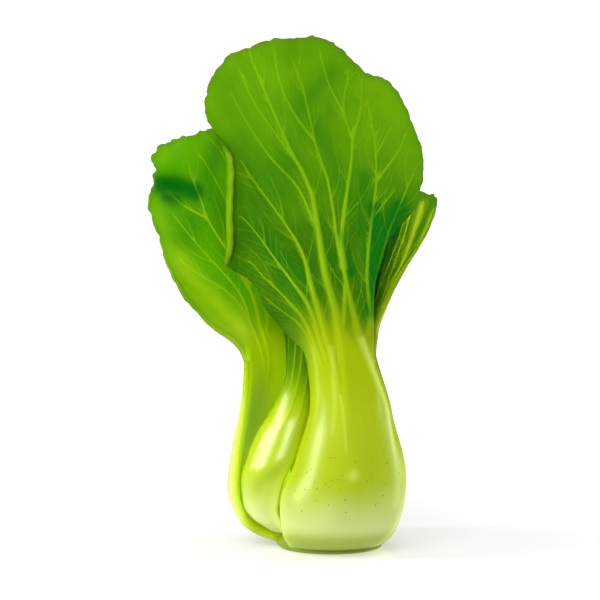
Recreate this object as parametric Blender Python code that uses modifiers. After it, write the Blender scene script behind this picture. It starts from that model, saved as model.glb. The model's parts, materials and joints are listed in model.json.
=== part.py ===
"""Baby bok choy: spoon-shaped leaves nested round a short cut stem.

Units are metres, +Z up. The head stands on the flat underside of its cut stem, and the origin
is the centre of that face. The front of the head looks along -Y.

Every leaf grew as one piece, petiole and blade together, and is made the same way:
- a spine is the middle line of the leaf's outer face, from its foot up to its tip;
- at each height the leaf's cross-section is an arc, tight where the petiole wraps the head
  and nearly flat in the blade;
- an outline gives how far the leaf reaches to each side, and the blade's top margin;
- a grid is laid between those outlines, and Solidify adds the flesh on the inner side, thick
  in the middle of the petiole and thin along the edges and in the blade.
"""

import math
from dataclasses import dataclass

import bmesh
import bpy
import numpy as np

MM = 0.001

# Stem: radius and height in millimetres, from the growing tip out over the node rings and the
# upright rim to the middle of the cut face
STEM_PROFILE = [
    (0.0, 13.0),
    (3.0, 11.8),
    (7.0, 7.5),
    (12.0, 4.2),
    (16.5, 2.6),
    (19.2, 1.2),
    (20.0, 0.7),
    (19.6, 0.0),
    (0.0, 0.0),
]
STEM_TURN_STEPS = 40
WELD_DISTANCE = 0.1 * MM  # joins the turned ends on the axis

# Pattern of a leaf
NECK_SHARE = 0.42  # the share of the rows that lie in the petiole
ROW_EASING = 1.1  # above 1 the petiole's rows lie closer together near the foot
NECK_CLIMB = 0.5  # how far the veins climb before they lean outwards

# Flesh of a leaf, a crescent in cross-section
EDGE_FLESH = 1.3  # thickness along a petiole's edges, in millimetres
CRESCENT_POWER = 2.4  # how far out from the middle the flesh stays thick
CRESCENT_FULLNESS = 0.6  # how steeply it thins at the edge

# Plain leaves, whose shape follows from a few heights and distances
BLADE_WIDEST = 0.56  # where the blade is widest, as a share of its height
BLADE_LOWER_DEPTH = 0.8  # the lower half of its outline, as a share of the way to the neck
BLADE_STEPS = 22  # degrees between the points of its outline
BLADE_SWEEP = 110  # degrees from the tip round to the neck on each side
BLADE_BEND = 0.45  # where the blade has reached its own curvature, as a share of its height
BLADE_SPREAD = 1.4  # the tip's section radius, over the blade's
FOOT_WRAP = 0.62  # the foot's half-width, over what the bulge's angle would give
FOOT_SWELL = (0.35, 0.75)  # a third of the way up to the bulge, three quarters of its swelling
SHOULDER = (0.38, 0.2)  # over a third of the way up to the neck, a fifth of its narrowing
MARGIN_RISE = 3.0  # height of the blade's first point above the neck, in millimetres
MARGIN_STEP = 0.5  # and how far outside the petiole it starts
PLAIN_FLESH = (0.6, 1.0, 0.7)  # at the foot, the bulge and the neck, over the thickest
PLAIN_BLADE_FLESH = (1.2, 0.9)  # in the blade's middle and at its tip, in millimetres

LEAF_GREEN = (0.10, 0.34, 0.012, 1.0)
PETIOLE_GREEN = (0.45, 0.62, 0.12, 1.0)


@dataclass
class Leaf:
    """One leaf. Heights and lengths are in millimetres, angles in degrees."""

    name: str
    facing: float  # where the back of the petiole looks, 0 = +X, 90 = +Y
    # spine: height, distance out from the head's axis, shift sideways, turn, section radius
    spine: list
    # the petiole's half-widths along the arc, by height, from the foot to the neck
    left: list
    right: list
    # the blade's margin, from the neck's left side over the tip to its right: sideways, height
    margin: list
    flesh: list  # height, thickness in the middle of the leaf
    rows: int = 18
    columns: int = 12


def smooth_curve(points, fractions):
    """Points on a smooth curve through the given ones, by its share of the length."""
    points = np.asarray(points, float)
    steps = np.linalg.norm(np.diff(points, axis=0), axis=1)
    along = np.concatenate([[0.0], np.cumsum(np.sqrt(steps + 1e-9))])
    slopes = np.gradient(points, along, axis=0)
    place = np.asarray(fractions, float) * along[-1]
    i = np.clip(np.searchsorted(along, place, side="right") - 1, 0, len(along) - 2)
    width = along[i + 1] - along[i]
    u = ((place - along[i]) / width)[..., None]
    h00, h10 = 2 * u**3 - 3 * u**2 + 1, u**3 - 2 * u**2 + u
    h01, h11 = 3 * u**2 - 2 * u**3, u**3 - u**2
    w = width[..., None]
    return h00 * points[i] + h10 * w * slopes[i] + h01 * points[i + 1] + h11 * w * slopes[i + 1]


def monotone(xs, ys, x):
    """A smooth curve y(x) that never overshoots its knots."""
    xs, ys, x = np.asarray(xs, float), np.asarray(ys, float), np.asarray(x, float)
    h, d = np.diff(xs), np.diff(ys) / np.diff(xs)
    m = np.concatenate([[d[0]], np.zeros(len(xs) - 2), [d[-1]]])
    same = d[:-1] * d[1:] > 0
    w1, w2 = 2 * h[1:] + h[:-1], h[1:] + 2 * h[:-1]
    safe = np.where(same, d[:-1] * d[1:], 1.0)
    mean = (w1 + w2) * safe / (w1 * d[1:] + w2 * d[:-1] + np.where(same, 0.0, 1e9))
    m[1:-1] = np.where(same, mean, 0.0)
    i = np.clip(np.searchsorted(xs, x, side="right") - 1, 0, len(xs) - 2)
    u = np.clip((x - xs[i]) / h[i], 0.0, 1.0)
    curve = (2 * u**3 - 3 * u**2 + 1) * ys[i] + (u**3 - 2 * u**2 + u) * h[i] * m[i]
    return curve + (3 * u**2 - 2 * u**3) * ys[i + 1] + (u**3 - u**2) * h[i] * m[i + 1]


def leaf_pattern(leaf, s, t):
    """The flat pattern: sideways reach and height at share s up the leaf, t across it.

    Up to the neck the rows lie level across the petiole. Above it every column runs on as a
    vein would: straight up out of the neck and then outwards to its own place on the margin.
    """
    foot, neck = leaf.left[0][0], leaf.left[-1][0]
    height = foot + (neck - foot) * np.clip(s / NECK_SHARE, 0.0, 1.0) ** ROW_EASING
    left = monotone(*zip(*leaf.left), height)
    right = monotone(*zip(*leaf.right), height)
    share = (t + 1) / 2
    start = np.stack([right * share - left * (1 - share), height], axis=-1)
    end = smooth_curve(leaf.margin, share)
    u = np.clip((s - NECK_SHARE) / (1 - NECK_SHARE), 0.0, 1.0)[..., None]
    climb = NECK_CLIMB * np.linalg.norm(end - start, axis=-1, keepdims=True)
    control = start + climb * np.array([0.0, 1.0])
    return (1 - u) ** 2 * start + 2 * u * (1 - u) * control + u**2 * end


def bend(leaf, reach, height):
    """Places on the leaf's outer face, in millimetres, for a place on its flat pattern."""
    heights = [row[0] for row in leaf.spine]
    out, side, turn, radius = (
        monotone(heights, [row[k] for row in leaf.spine], height) for k in (1, 2, 3, 4)
    )
    base = math.radians(leaf.facing)
    look = base + np.radians(turn)
    arc = reach / radius
    across, back = radius * np.sin(arc), radius * (1 - np.cos(arc))
    x = out * math.cos(base) - side * math.sin(base) - across * np.sin(look) - back * np.cos(look)
    y = out * math.sin(base) + side * math.cos(base) + across * np.cos(look) - back * np.sin(look)
    return np.stack([x, y, height], axis=-1)


def thickness(leaf, t, height):
    """Thickness of the leaf in millimetres, at share t across it."""
    middle = monotone([row[0] for row in leaf.flesh], [row[1] for row in leaf.flesh], height)
    edge = np.minimum(EDGE_FLESH, middle)
    crescent = (1 - np.abs(t) ** CRESCENT_POWER) ** CRESCENT_FULLNESS
    return edge + (middle - edge) * crescent


def principled(name, colour, roughness):
    material = bpy.data.materials.new(name)
    material.use_nodes = True
    shader = material.node_tree.nodes["Principled BSDF"]
    shader.inputs["Base Color"].default_value = colour
    shader.inputs["Roughness"].default_value = roughness
    shader.inputs["Metallic"].default_value = 0.0
    return material


def add_object(name, mesh, material, collection):
    mesh.materials.append(material)
    thing = bpy.data.objects.new(name, mesh)
    collection.objects.link(thing)
    return thing


def make_leaf(leaf, collection):
    """The leaf's outer face as a bent grid, thickened inwards by Solidify."""
    surface = bmesh.new()
    bmesh.ops.create_grid(surface, x_segments=leaf.columns, y_segments=leaf.rows, size=1.0)
    surface.verts.ensure_lookup_table()
    t = np.array([v.co.x for v in surface.verts])
    s = np.array([(v.co.y + 1) / 2 for v in surface.verts])
    pattern = leaf_pattern(leaf, s, t)
    places = bend(leaf, pattern[:, 0], pattern[:, 1]) * MM
    for v, place in zip(surface.verts, places):
        v.co = place
    mesh = bpy.data.meshes.new(leaf.name)
    surface.to_mesh(mesh)
    surface.free()
    mesh.shade_smooth()
    thing = add_object(leaf.name, mesh, principled(leaf.name, LEAF_GREEN, 0.4), collection)
    thickest = max(row[1] for row in leaf.flesh)
    group = thing.vertex_groups.new(name="flesh")
    for i, share in enumerate(thickness(leaf, t, pattern[:, 1]) / thickest):
        group.add([i], float(share), "REPLACE")
    flesh = thing.modifiers.new("flesh", "SOLIDIFY")
    flesh.thickness = thickest * MM
    flesh.offset = -1.0
    flesh.vertex_group = group.name
    flesh.use_even_offset = False
    return thing


def make_stem(collection):
    """The cut stem, turned: a flat disc below, rising as a low cone to the growing tip."""
    turned = bmesh.new()
    corners = [turned.verts.new((radius * MM, 0.0, height * MM)) for radius, height in STEM_PROFILE]
    for low, high in zip(corners[:-1], corners[1:]):
        turned.edges.new((low, high))
    mesh = bpy.data.meshes.new("stem_base")
    turned.to_mesh(mesh)
    turned.free()
    stem = add_object("stem_base", mesh, principled("stem_base", PETIOLE_GREEN, 0.5), collection)
    screw = stem.modifiers.new("turn", "SCREW")
    screw.steps = STEM_TURN_STEPS
    screw.render_steps = STEM_TURN_STEPS
    screw.use_merge_vertices = True
    screw.merge_threshold = WELD_DISTANCE
    screw.use_normal_calculate = True
    return stem


FRONT = Leaf(
    name="leaf_front",
    facing=-90,
    spine=[
        (1.6, 19.3, 0, 0, 19.3),
        (4.0, 24.5, 1.5, 0, 20.5),
        (9.0, 28.8, 3, 0, 22),
        (19, 31, 4.2, 0, 22.8),
        (34, 28.5, 6.8, 0, 20),
        (50, 23, 7, 0, 15.5),
        (66, 18.5, 4.4, 0, 14),
        (80, 16.5, 1, 0, 22),
        (100, 17, -2, 0, 60),
        (130, 19, -5, 0, 110),
        (160, 22, -8, 0, 110),
        (183, 25, -9, 0, 110),
    ],
    left=[(1.6, 14), (7, 22), (18, 29.5), (34, 25.5), (50, 19.5), (66, 16), (71, 15)],
    right=[(1.6, 18), (7, 23), (18, 29.5), (34, 25.5), (50, 19.5), (66, 16), (71, 14.5)],
    margin=[(-16, 74), (-21.5, 78), (-24, 85), (-26, 92), (-30, 98), (-36, 102), (-33, 111),
            (-32, 124), (-32.5, 139), (-36, 151), (-37, 163), (-29.5, 176), (-17, 182),
            (-1, 184), (10, 180.5), (20, 170), (30, 162), (36, 149), (39, 137), (36, 126),
            (29, 116), (22, 105), (17, 90), (15.5, 76)],
    flesh=[(1.6, 5), (9, 7), (20, 9), (50, 7), (70, 5), (85, 3), (105, 1.6), (125, 0.9)],
    rows=26,
    columns=24,
)

LEFT = Leaf(
    name="leaf_left",
    facing=150,
    spine=[
        (1.6, 19.3, 0, 0, 19.3),
        (4.0, 27, 0, 0, 21),
        (9.0, 33.5, 0, 0, 23.5),
        (20, 37.5, 0, 0, 24),
        (35, 36, 0, 0, 22),
        (50, 32, 0, -5, 20),
        (65, 28.5, 2, -14, 19),
        (73, 28, 3, -21, 34),
        (82, 28.3, 4.6, -28, 60),
        (100, 31, 8, -36, 60),
        (125, 33, 13, -40, 90),
        (150, 34, 17, -40, 90),
    ],
    left=[(1.6, 11), (7, 17), (20, 21), (35, 19), (50, 15), (66, 9)],
    right=[(1.6, 11), (7, 18), (20, 22), (35, 19), (50, 15), (66, 10)],
    margin=[(-9.5, 69), (-11, 78), (-16, 94), (-22, 114), (-24, 133), (-17, 146), (-4, 150),
            (12, 149), (28, 144), (34, 138), (33, 131), (37, 120), (35, 108), (31, 94),
            (25, 83), (19, 76), (11.5, 70)],
    flesh=[(1.6, 3), (9, 3.6), (20, 5), (50, 4.5), (70, 4), (85, 2.4), (105, 1.4), (125, 0.9)],
    rows=20,
    columns=14,
)

FRONT_LEFT = Leaf(
    name="leaf_front_left",
    facing=190,
    spine=[
        (6.5, 18.5, -1, 0, 13),
        (10.6, 25.5, -3, 0, 13.5),
        (15, 28.4, -4, 0, 13.5),
        (24, 30.1, -2.2, 6, 13.2),
        (32, 28.6, 2.6, 20, 12),
        (40, 25.4, 6.4, 34, 10.5),
        (50, 19.3, 8.3, 45, 8),
        (62, 14.6, 6.4, 50, 5.6),
        (75, 12.8, 5.8, 52, 9),
        (92, 10.2, 6.8, 56, 24),
        (126, 6.7, 9, 60, 40),
    ],
    left=[(6.5, 8), (12, 14), (24, 17), (36, 15), (50, 10), (62, 7)],
    right=[(6.5, 8), (12, 14), (24, 16.5), (32, 15), (40, 13.5), (50, 10.5), (62, 7.5)],
    margin=[(-8, 65), (-10, 76), (-12, 90), (-13, 104), (-10, 117), (-3, 124), (4, 125),
            (11, 121), (15, 110), (14.5, 96), (10, 80), (7.9, 66)],
    flesh=[(6.5, 2.5), (12, 4.5), (24, 6), (50, 3.6), (62, 2.6), (75, 1.9), (95, 1)],
)

RIGHT = Leaf(
    name="leaf_right",
    facing=8,
    spine=[
        (1.6, 19.3, 0, 0, 19.3),
        (4.0, 22, 0, 0, 20),
        (10, 25, 0, 0, 21),
        (20, 26.5, 0, 0, 21.5),
        (35, 25, 0, 0, 20),
        (50, 20.5, 0, 0, 16),
        (64, 16, 0, 0, 12),
        (76, 15.5, 0, 10, 18),
        (95, 20.5, 0, 18, 30),
        (110, 27, 0, 20, 50),
        (127, 34.3, 0, 20, 60),
    ],
    left=[(1.6, 12), (7, 16), (20, 17), (35, 15), (50, 12), (66, 8)],
    right=[(1.6, 13), (7, 17), (20, 19), (35, 17), (50, 13), (66, 9)],
    margin=[(-8.5, 70), (-10, 82), (-14, 98), (-18, 112), (-18, 122), (-11, 126), (0, 127),
            (13, 126), (24, 121), (28, 110), (21, 97), (11, 84), (9, 72)],
    flesh=[(1.6, 4), (9, 5), (20, 6), (50, 5), (66, 4), (80, 2.4), (100, 1.1)],
)


def spoon_margin(neck_left, neck_right, neck_height, half_width, tip_height):
    """The margin of a plain rounded blade: an ellipse drawn down to the neck."""
    middle = neck_height + BLADE_WIDEST * (tip_height - neck_height)
    points = [(-neck_left - MARGIN_STEP, neck_height + MARGIN_RISE)]
    for degrees in range(-BLADE_SWEEP, BLADE_SWEEP + 1, BLADE_STEPS):
        angle = math.radians(degrees)
        upper = math.cos(angle) > 0
        depth = tip_height - middle if upper else BLADE_LOWER_DEPTH * (middle - neck_height)
        points.append((half_width * math.sin(angle), middle + depth * math.cos(angle)))
    points.append((neck_right + MARGIN_STEP, neck_height + MARGIN_RISE))
    return points


def between(low, high, share):
    return low + (high - low) * share


def plain_leaf(
    name, facing, foot, bulge, neck, tip, angles, half_width, flesh, blade_radius, grid=(14, 8)
):
    """A leaf whose petiole bulges above its foot and narrows evenly to the neck.

    foot, bulge, neck and tip are each a height, a distance out from the axis and, except for
    the tip, the radius of the cross-section; angles is how far the petiole wraps to each side.
    """
    foot_height, foot_out, foot_radius = foot
    bulge_height, bulge_out, bulge_radius = bulge
    neck_height, neck_out, neck_radius = neck
    tip_height, tip_out = tip
    low, high = (math.radians(angle) for angle in angles)
    swell_way, swelling = FOOT_SWELL
    shoulder_way, narrowing = SHOULDER
    blade_height = between(neck_height, tip_height, BLADE_BEND)
    spine = [
        (foot_height, foot_out, 0, 0, foot_radius),
        (between(foot_height, bulge_height, swell_way), between(foot_out, bulge_out, swelling),
         0, 0, between(foot_radius, bulge_radius, swelling)),
        (bulge_height, bulge_out, 0, 0, bulge_radius),
        (between(bulge_height, neck_height, shoulder_way),
         between(bulge_out, neck_out, narrowing),
         0, 0, between(bulge_radius, neck_radius, narrowing)),
        (neck_height, neck_out, 0, 0, neck_radius),
        (blade_height, between(neck_out, tip_out, BLADE_BEND), 0, 0, blade_radius),
        (tip_height, tip_out, 0, 0, BLADE_SPREAD * blade_radius),
    ]
    left, right = (
        [
            (foot_height, FOOT_WRAP * angle * foot_radius),
            (bulge_height, angle * bulge_radius),
            (neck_height, angle * neck_radius),
        ]
        for angle in (low, high)
    )
    heights = (foot_height, bulge_height, neck_height, blade_height, tip_height)
    thicknesses = [flesh * share for share in PLAIN_FLESH] + list(PLAIN_BLADE_FLESH)
    return Leaf(
        name=name,
        facing=facing,
        spine=spine,
        left=left,
        right=right,
        margin=spoon_margin(
            low * neck_radius, high * neck_radius, neck_height, half_width, tip_height
        ),
        flesh=list(zip(heights, thicknesses)),
        rows=grid[0],
        columns=grid[1],
    )


BACK = plain_leaf(
    name="leaf_back", facing=80, foot=(1.6, 19.3, 19.3), bulge=(20, 29, 20),
    neck=(64, 18, 12), tip=(128, 33), angles=(45, 56), half_width=22, flesh=6, blade_radius=28,
    grid=(16, 12),
)
INNER_RING = {"foot": (6, 12.6, 12.6), "bulge": (23, 14.6, 14), "neck": (58, 9.4, 9)}
INNER = [
    plain_leaf(
        name="leaf_inner_left", facing=152, tip=(114, 9), angles=(50, 50), half_width=9.5,
        flesh=4, blade_radius=11, **INNER_RING,
    ),
    plain_leaf(
        name="leaf_inner_right", facing=-22, tip=(112, 11.5), angles=(48, 44), half_width=8,
        flesh=4, blade_radius=11, **INNER_RING,
    ),
    plain_leaf(
        name="leaf_back_right", facing=80, foot=(4.5, 14, 14), bulge=(22, 17, 16),
        neck=(60, 11.6, 10), tip=(119, 13), angles=(27, 24), half_width=8,
        flesh=4, blade_radius=16,
    ),
]
HEART_RING = {"foot": (10.5, 6.2, 6.2), "bulge": (26, 8, 7.5), "neck": (50, 5.6, 5.2)}
HEART = [
    plain_leaf(
        name=f"heart_leaf_{letter}", facing=facing, tip=(height, 6), angles=(50, 50),
        half_width=5.2, flesh=2, blade_radius=5.4, grid=(12, 6), **HEART_RING,
    )
    for letter, facing, height in (("a", 110, 98), ("b", 230, 92), ("c", 350, 86))
]

LEAVES = [FRONT, LEFT, FRONT_LEFT, RIGHT, BACK, *INNER, *HEART]


def main():
    for thing in list(bpy.data.objects):
        bpy.data.objects.remove(thing, do_unlink=True)
    collection = bpy.data.collections.new("bok_choy")
    bpy.context.scene.collection.children.link(collection)
    make_stem(collection)
    for leaf in LEAVES:
        make_leaf(leaf, collection)


main()
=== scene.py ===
# %% [markdown]
# # A head of baby bok choy
#
# The object is a vegetable: spoon-shaped leaves nested round a short cut stem. Every leaf is
# one piece. Its petiole is a fat pale crescent that wraps the head, and its blade is a thin
# green sheet held open by ribs.
#
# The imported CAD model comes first, because it says where everything is. The measured leaves
# here follow the same rule as the CAD leaves, with far more points, so they fill the same
# space and can carry ribs, ripples, a rolled margin and rounded edges.

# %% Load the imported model
import json
import math

from dataclasses import dataclass, field

import bmesh
import bpy
import numpy as np
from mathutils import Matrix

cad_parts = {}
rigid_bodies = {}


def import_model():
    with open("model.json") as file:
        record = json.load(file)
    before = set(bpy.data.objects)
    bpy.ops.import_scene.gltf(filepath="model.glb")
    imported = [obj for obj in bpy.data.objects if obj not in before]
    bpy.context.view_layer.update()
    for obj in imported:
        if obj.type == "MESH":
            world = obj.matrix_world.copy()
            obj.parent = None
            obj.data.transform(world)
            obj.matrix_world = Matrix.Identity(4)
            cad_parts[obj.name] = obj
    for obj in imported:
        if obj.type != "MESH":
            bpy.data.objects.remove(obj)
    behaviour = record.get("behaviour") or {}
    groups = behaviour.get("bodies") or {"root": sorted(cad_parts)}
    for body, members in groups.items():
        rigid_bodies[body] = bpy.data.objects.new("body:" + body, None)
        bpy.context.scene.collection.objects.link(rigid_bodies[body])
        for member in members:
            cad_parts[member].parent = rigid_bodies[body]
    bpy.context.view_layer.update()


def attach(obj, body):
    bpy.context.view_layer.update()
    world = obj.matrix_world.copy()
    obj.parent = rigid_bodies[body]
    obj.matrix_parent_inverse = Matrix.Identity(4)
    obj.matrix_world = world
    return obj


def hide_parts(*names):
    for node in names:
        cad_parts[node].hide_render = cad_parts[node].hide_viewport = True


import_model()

MM = 0.001
WHITE = (1.0, 1.0, 1.0)


def put(name, data):
    """A new object in the scene that shows data."""
    thing = bpy.data.objects.new(name, data)
    bpy.context.scene.collection.objects.link(thing)
    return thing


# %% [markdown]
# ## The camera
#
# A long lens from far off keeps the head's upright lines upright. The view is level with the
# head, raised by a few degrees, so that the cut foot meets the floor as a shallow curve.

# %% Camera
CAMERA_AWAY = 1.25
CAMERA_RISE = 6.0  # degrees
VIEW_ACROSS = 213.7 * MM  # what the view spans at the head
AIM = (-10.95 * MM, 0.0, 88.7 * MM)
SENSOR = 36.0

rise = math.radians(CAMERA_RISE)
camera = put("camera", bpy.data.cameras.new("camera"))
camera.data.sensor_width = SENSOR
camera.data.lens = SENSOR * CAMERA_AWAY / VIEW_ACROSS
camera.location = (
    AIM[0],
    AIM[1] - CAMERA_AWAY * math.cos(rise),
    AIM[2] + CAMERA_AWAY * math.sin(rise),
)
camera.rotation_euler = (math.pi / 2 - rise, 0.0, 0.0)
bpy.context.scene.camera = camera
bpy.context.scene.view_settings.view_transform = "Standard"
print("lens:", round(camera.data.lens), "mm")

# %% [markdown]
# ## Node trees written as expressions
#
# A finish is a net of shader nodes, and a growth rule is a net of geometry nodes. Wiring them
# by hand hides what they say, so a small class wraps a socket and turns Python's operators
# into Math nodes: `1 - mask` then reads as it works. Every other node comes from one method.

# %% Signals
class Signal:
    """A value that varies over a surface, on one socket of a node tree."""

    def __init__(self, net, socket):
        self.net = net
        self.socket = socket

    def beside(self, output):
        """Another output of the node that this value comes from."""
        return Signal(self.net, self.socket.node.outputs[output])

    def _math(self, operation, *values, clamp=False):
        settings = {"operation": operation, "use_clamp": clamp}
        return self.net.node("ShaderNodeMath", settings, dict(enumerate(values)))

    def __add__(self, other):
        return self._math("ADD", self, other)

    __radd__ = __add__

    def __sub__(self, other):
        return self._math("SUBTRACT", self, other)

    def __rsub__(self, other):
        return self._math("SUBTRACT", other, self)

    def __mul__(self, other):
        return self._math("MULTIPLY", self, other)

    __rmul__ = __mul__

    def __truediv__(self, other):
        return self._math("DIVIDE", self, other)

    def fraction(self):
        return self._math("FRACT", self)

    def size(self):
        return self._math("ABSOLUTE", self)

    def clamp(self):
        return self._math("ADD", self, 0.0, clamp=True)

    def largest(self, other):
        return self._math("MAXIMUM", self, other)

    def ease(self, low, high):
        """0 below low and 1 above high, smooth between; low may be the larger."""
        return self.net.node(
            "ShaderNodeMapRange",
            {"interpolation_type": "SMOOTHSTEP"},
            {"Value": self, "From Min": low, "From Max": high},
        )


class Net:
    """A node tree that is written from values and signals."""

    def __init__(self, tree):
        self.tree = tree

    def feed(self, socket, value):
        """Links a signal to a socket, or sets a plain value on it."""
        if isinstance(value, Signal):
            self.tree.links.new(value.socket, socket)
        elif socket.type == "RGBA" and len(value) == 3:
            socket.default_value = (*value, 1.0)
        else:
            socket.default_value = value

    def node(self, kind, settings=None, inputs=None, output=0):
        node = self.tree.nodes.new(kind)
        for key, value in (settings or {}).items():
            setattr(node, key, value)
        for key, value in (inputs or {}).items():
            self.feed(node.inputs[key], value)
        return Signal(self, node.outputs[output])

    def mix_shaders(self, share, low, high):
        return self.node("ShaderNodeMixShader", {}, {0: share, 1: low, 2: high})


# %% Finishes
class Finish(Net):
    """A material and its Principled shader."""

    def __init__(self, name):
        self.material = bpy.data.materials.new(name)
        self.material.use_nodes = True
        super().__init__(self.material.node_tree)
        self.shader = self.tree.nodes["Principled BSDF"]

    def place(self):
        return self.node("ShaderNodeTexCoord", output="Object")

    def attribute(self, name, output="Fac"):
        return self.node("ShaderNodeAttribute", {"attribute_name": name}, output=output)

    def part(self, vector, axis):
        return self.node("ShaderNodeSeparateXYZ", {}, {0: vector}, axis)

    def length(self, vector):
        return self.node("ShaderNodeVectorMath", {"operation": "LENGTH"}, {0: vector}, "Value")

    def stretch(self, vector, factors):
        return self.node(
            "ShaderNodeVectorMath", {"operation": "MULTIPLY"}, {0: vector, 1: factors}
        )

    def noise(self, where, scale, detail=2.0):
        return self.node(
            "ShaderNodeTexNoise", {}, {"Vector": where, "Scale": scale, "Detail": detail}
        )

    def mix(self, share, low, high):
        """A colour between low and high."""
        return self.node("ShaderNodeMix", {"data_type": "RGBA"}, {0: share, 6: low, 7: high}, 2)

    def bump(self, height, strength, depth):
        return self.node(
            "ShaderNodeBump", {}, {"Strength": strength, "Distance": depth, "Height": height}
        )

    def finish(self, **values):
        """Sets the Principled shader's sockets, by name with _ for the spaces."""
        for key, value in values.items():
            self.feed(self.shader.inputs[key.replace("_", " ")], value)
        return self.material


# %% [markdown]
# ## The light and the floor
#
# The light is that of a white tent: an even white surround, dim in a gloss. A narrow soft box
# high on the left and a narrower one on the right draw the long highlights down the petioles.
# A broad box in front fills the shade, and one behind shines through the blades. That last
# box is linked to the leaves alone, so it leaves no pool of light on the floor.
#
# The floor is a pale board with a little gloss. It glows more the farther off it is, so that
# it meets the white backdrop unseen.

# %% Light
TENT_LIGHT = 0.85  # what the tent's walls give the head
TENT_GLOSS = 0.05  # how bright they look in a gloss
TENT_SEEN = 1.0  # how bright they look behind the head
LAMP_AIM = np.array([0.0, 0.0, 90 * MM])

world = bpy.data.worlds.new("tent")
bpy.context.scene.world = world
world.use_nodes = True
tent = Net(world.node_tree)
tent.tree.nodes.remove(tent.tree.nodes["Background"])
given, glossed, seen = (
    tent.node("ShaderNodeBackground", {}, {"Color": WHITE, "Strength": strength})
    for strength in (TENT_LIGHT, TENT_GLOSS, TENT_SEEN)
)
ray = tent.node("ShaderNodeLightPath", output="Is Glossy Ray")
walls = tent.mix_shaders(ray, given, glossed)
walls = tent.mix_shaders(ray.beside("Is Camera Ray"), walls, seen)
tent.feed(tent.tree.nodes["World Output"].inputs["Surface"], walls)


def soft_box(name, place, size, watts, in_gloss=True):
    """A rectangular lamp at place that looks at the head."""
    lamp = bpy.data.lights.new(name, "AREA")
    lamp.shape = "RECTANGLE"
    lamp.size, lamp.size_y = size
    lamp.energy = watts
    thing = put(name, lamp)
    thing.location = place
    way = LAMP_AIM - np.array(place)
    tilt = math.atan2(math.hypot(way[0], way[1]), -way[2])
    thing.rotation_euler = (tilt, 0.0, math.atan2(way[1], way[0]) - math.pi / 2)
    thing.visible_glossy = in_gloss
    return thing


soft_box("key_box", (-1.0, -0.16, 0.55), (0.18, 0.6), 5.0)
soft_box("edge_box", (0.90, 0.22, 0.25), (0.06, 0.6), 3.0)
soft_box("fill_box", (-0.30, -1.0, 0.60), (0.8, 0.8), 7.0, in_gloss=False)
back_box = soft_box("back_box", (-0.30, 0.90, 0.60), (0.8, 0.8), 11.0, in_gloss=False)
head = bpy.data.collections.new("head")  # what the box behind lights: the leaves, not the floor
back_box.light_linking.receiver_collection = head

# %% Floor
FLOOR_HALF = 12.0
FLOOR_GLOW = (0.06, 0.32)  # metres from the head between which the glow grows

sheet = bmesh.new()
bmesh.ops.create_grid(sheet, x_segments=1, y_segments=1, size=FLOOR_HALF)
mesh = bpy.data.meshes.new("floor")
sheet.to_mesh(mesh)
sheet.free()
floor = put("floor", mesh)
board = Finish("white_board")
place = board.place()
far = board.length(place).ease(*FLOOR_GLOW)
mesh.materials.append(
    board.finish(
        Base_Color=(0.82, 0.82, 0.82),
        Roughness=0.14 + board.noise(place, 60.0) * 0.06,
        Specular_IOR_Level=0.22,
        Emission_Color=board.mix(far, (0.43, 0.43, 0.43), WHITE),
        Emission_Strength=0.8,
    )
)
print("floor laid at z = 0")

# %% [markdown]
# ## Curves through a few points
#
# A leaf is described by short lists: where its spine runs, how far it reaches to each side,
# how thick it is. Two helpers turn such lists into smooth lines. One never overshoots its
# points, which suits widths and thicknesses, and one rounds the outline of a blade.

# %% Curve helpers
def hermite(u):
    """The weights of a piece's start, its slope there, its end and its slope there."""
    return 2 * u**3 - 3 * u**2 + 1, u**3 - 2 * u**2 + u, 3 * u**2 - 2 * u**3, u**3 - u**2


def smooth_curve(points, shares):
    """Points on a smooth curve through the given ones, by its share of the length."""
    points = np.asarray(points, float)
    steps = np.linalg.norm(np.diff(points, axis=0), axis=1)
    along = np.concatenate([[0.0], np.cumsum(np.sqrt(steps + 1e-9))])
    slopes = np.gradient(points, along, axis=0)
    place = np.asarray(shares, float) * along[-1]
    i = np.clip(np.searchsorted(along, place, side="right") - 1, 0, len(along) - 2)
    width = along[i + 1] - along[i]
    a, b, c, d = hermite(((place - along[i]) / width)[..., None])
    w = width[..., None]
    return a * points[i] + b * w * slopes[i] + c * points[i + 1] + d * w * slopes[i + 1]


def monotone(xs, ys, x):
    """A smooth curve y(x) that never overshoots its knots."""
    xs, ys, x = np.asarray(xs, float), np.asarray(ys, float), np.asarray(x, float)
    h, d = np.diff(xs), np.diff(ys) / np.diff(xs)
    m = np.concatenate([[d[0]], np.zeros(len(xs) - 2), [d[-1]]])
    same = d[:-1] * d[1:] > 0
    w1, w2 = 2 * h[1:] + h[:-1], h[1:] + 2 * h[:-1]
    safe = np.where(same, d[:-1] * d[1:], 1.0)
    mean = (w1 + w2) * safe / (w1 * d[1:] + w2 * d[:-1] + np.where(same, 0.0, 1e9))
    m[1:-1] = np.where(same, mean, 0.0)
    i = np.clip(np.searchsorted(xs, x, side="right") - 1, 0, len(xs) - 2)
    a, b, c, e = hermite(np.clip((x - xs[i]) / h[i], 0.0, 1.0))
    return a * ys[i] + b * h[i] * m[i] + c * ys[i + 1] + e * h[i] * m[i + 1]


def ease(low, high, x):
    """0 below low and 1 above high, smooth between."""
    u = np.clip((x - low) / (high - low), 0.0, 1.0)
    return u * u * (3 - 2 * u)


def travel(line):
    """How far along a line each of its points lies."""
    steps = np.linalg.norm(np.diff(line, axis=0), axis=1)
    return np.concatenate([[0.0], np.cumsum(steps)])


def unit(v):
    return v / np.maximum(np.linalg.norm(v, axis=-1, keepdims=True), 1e-9)


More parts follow.
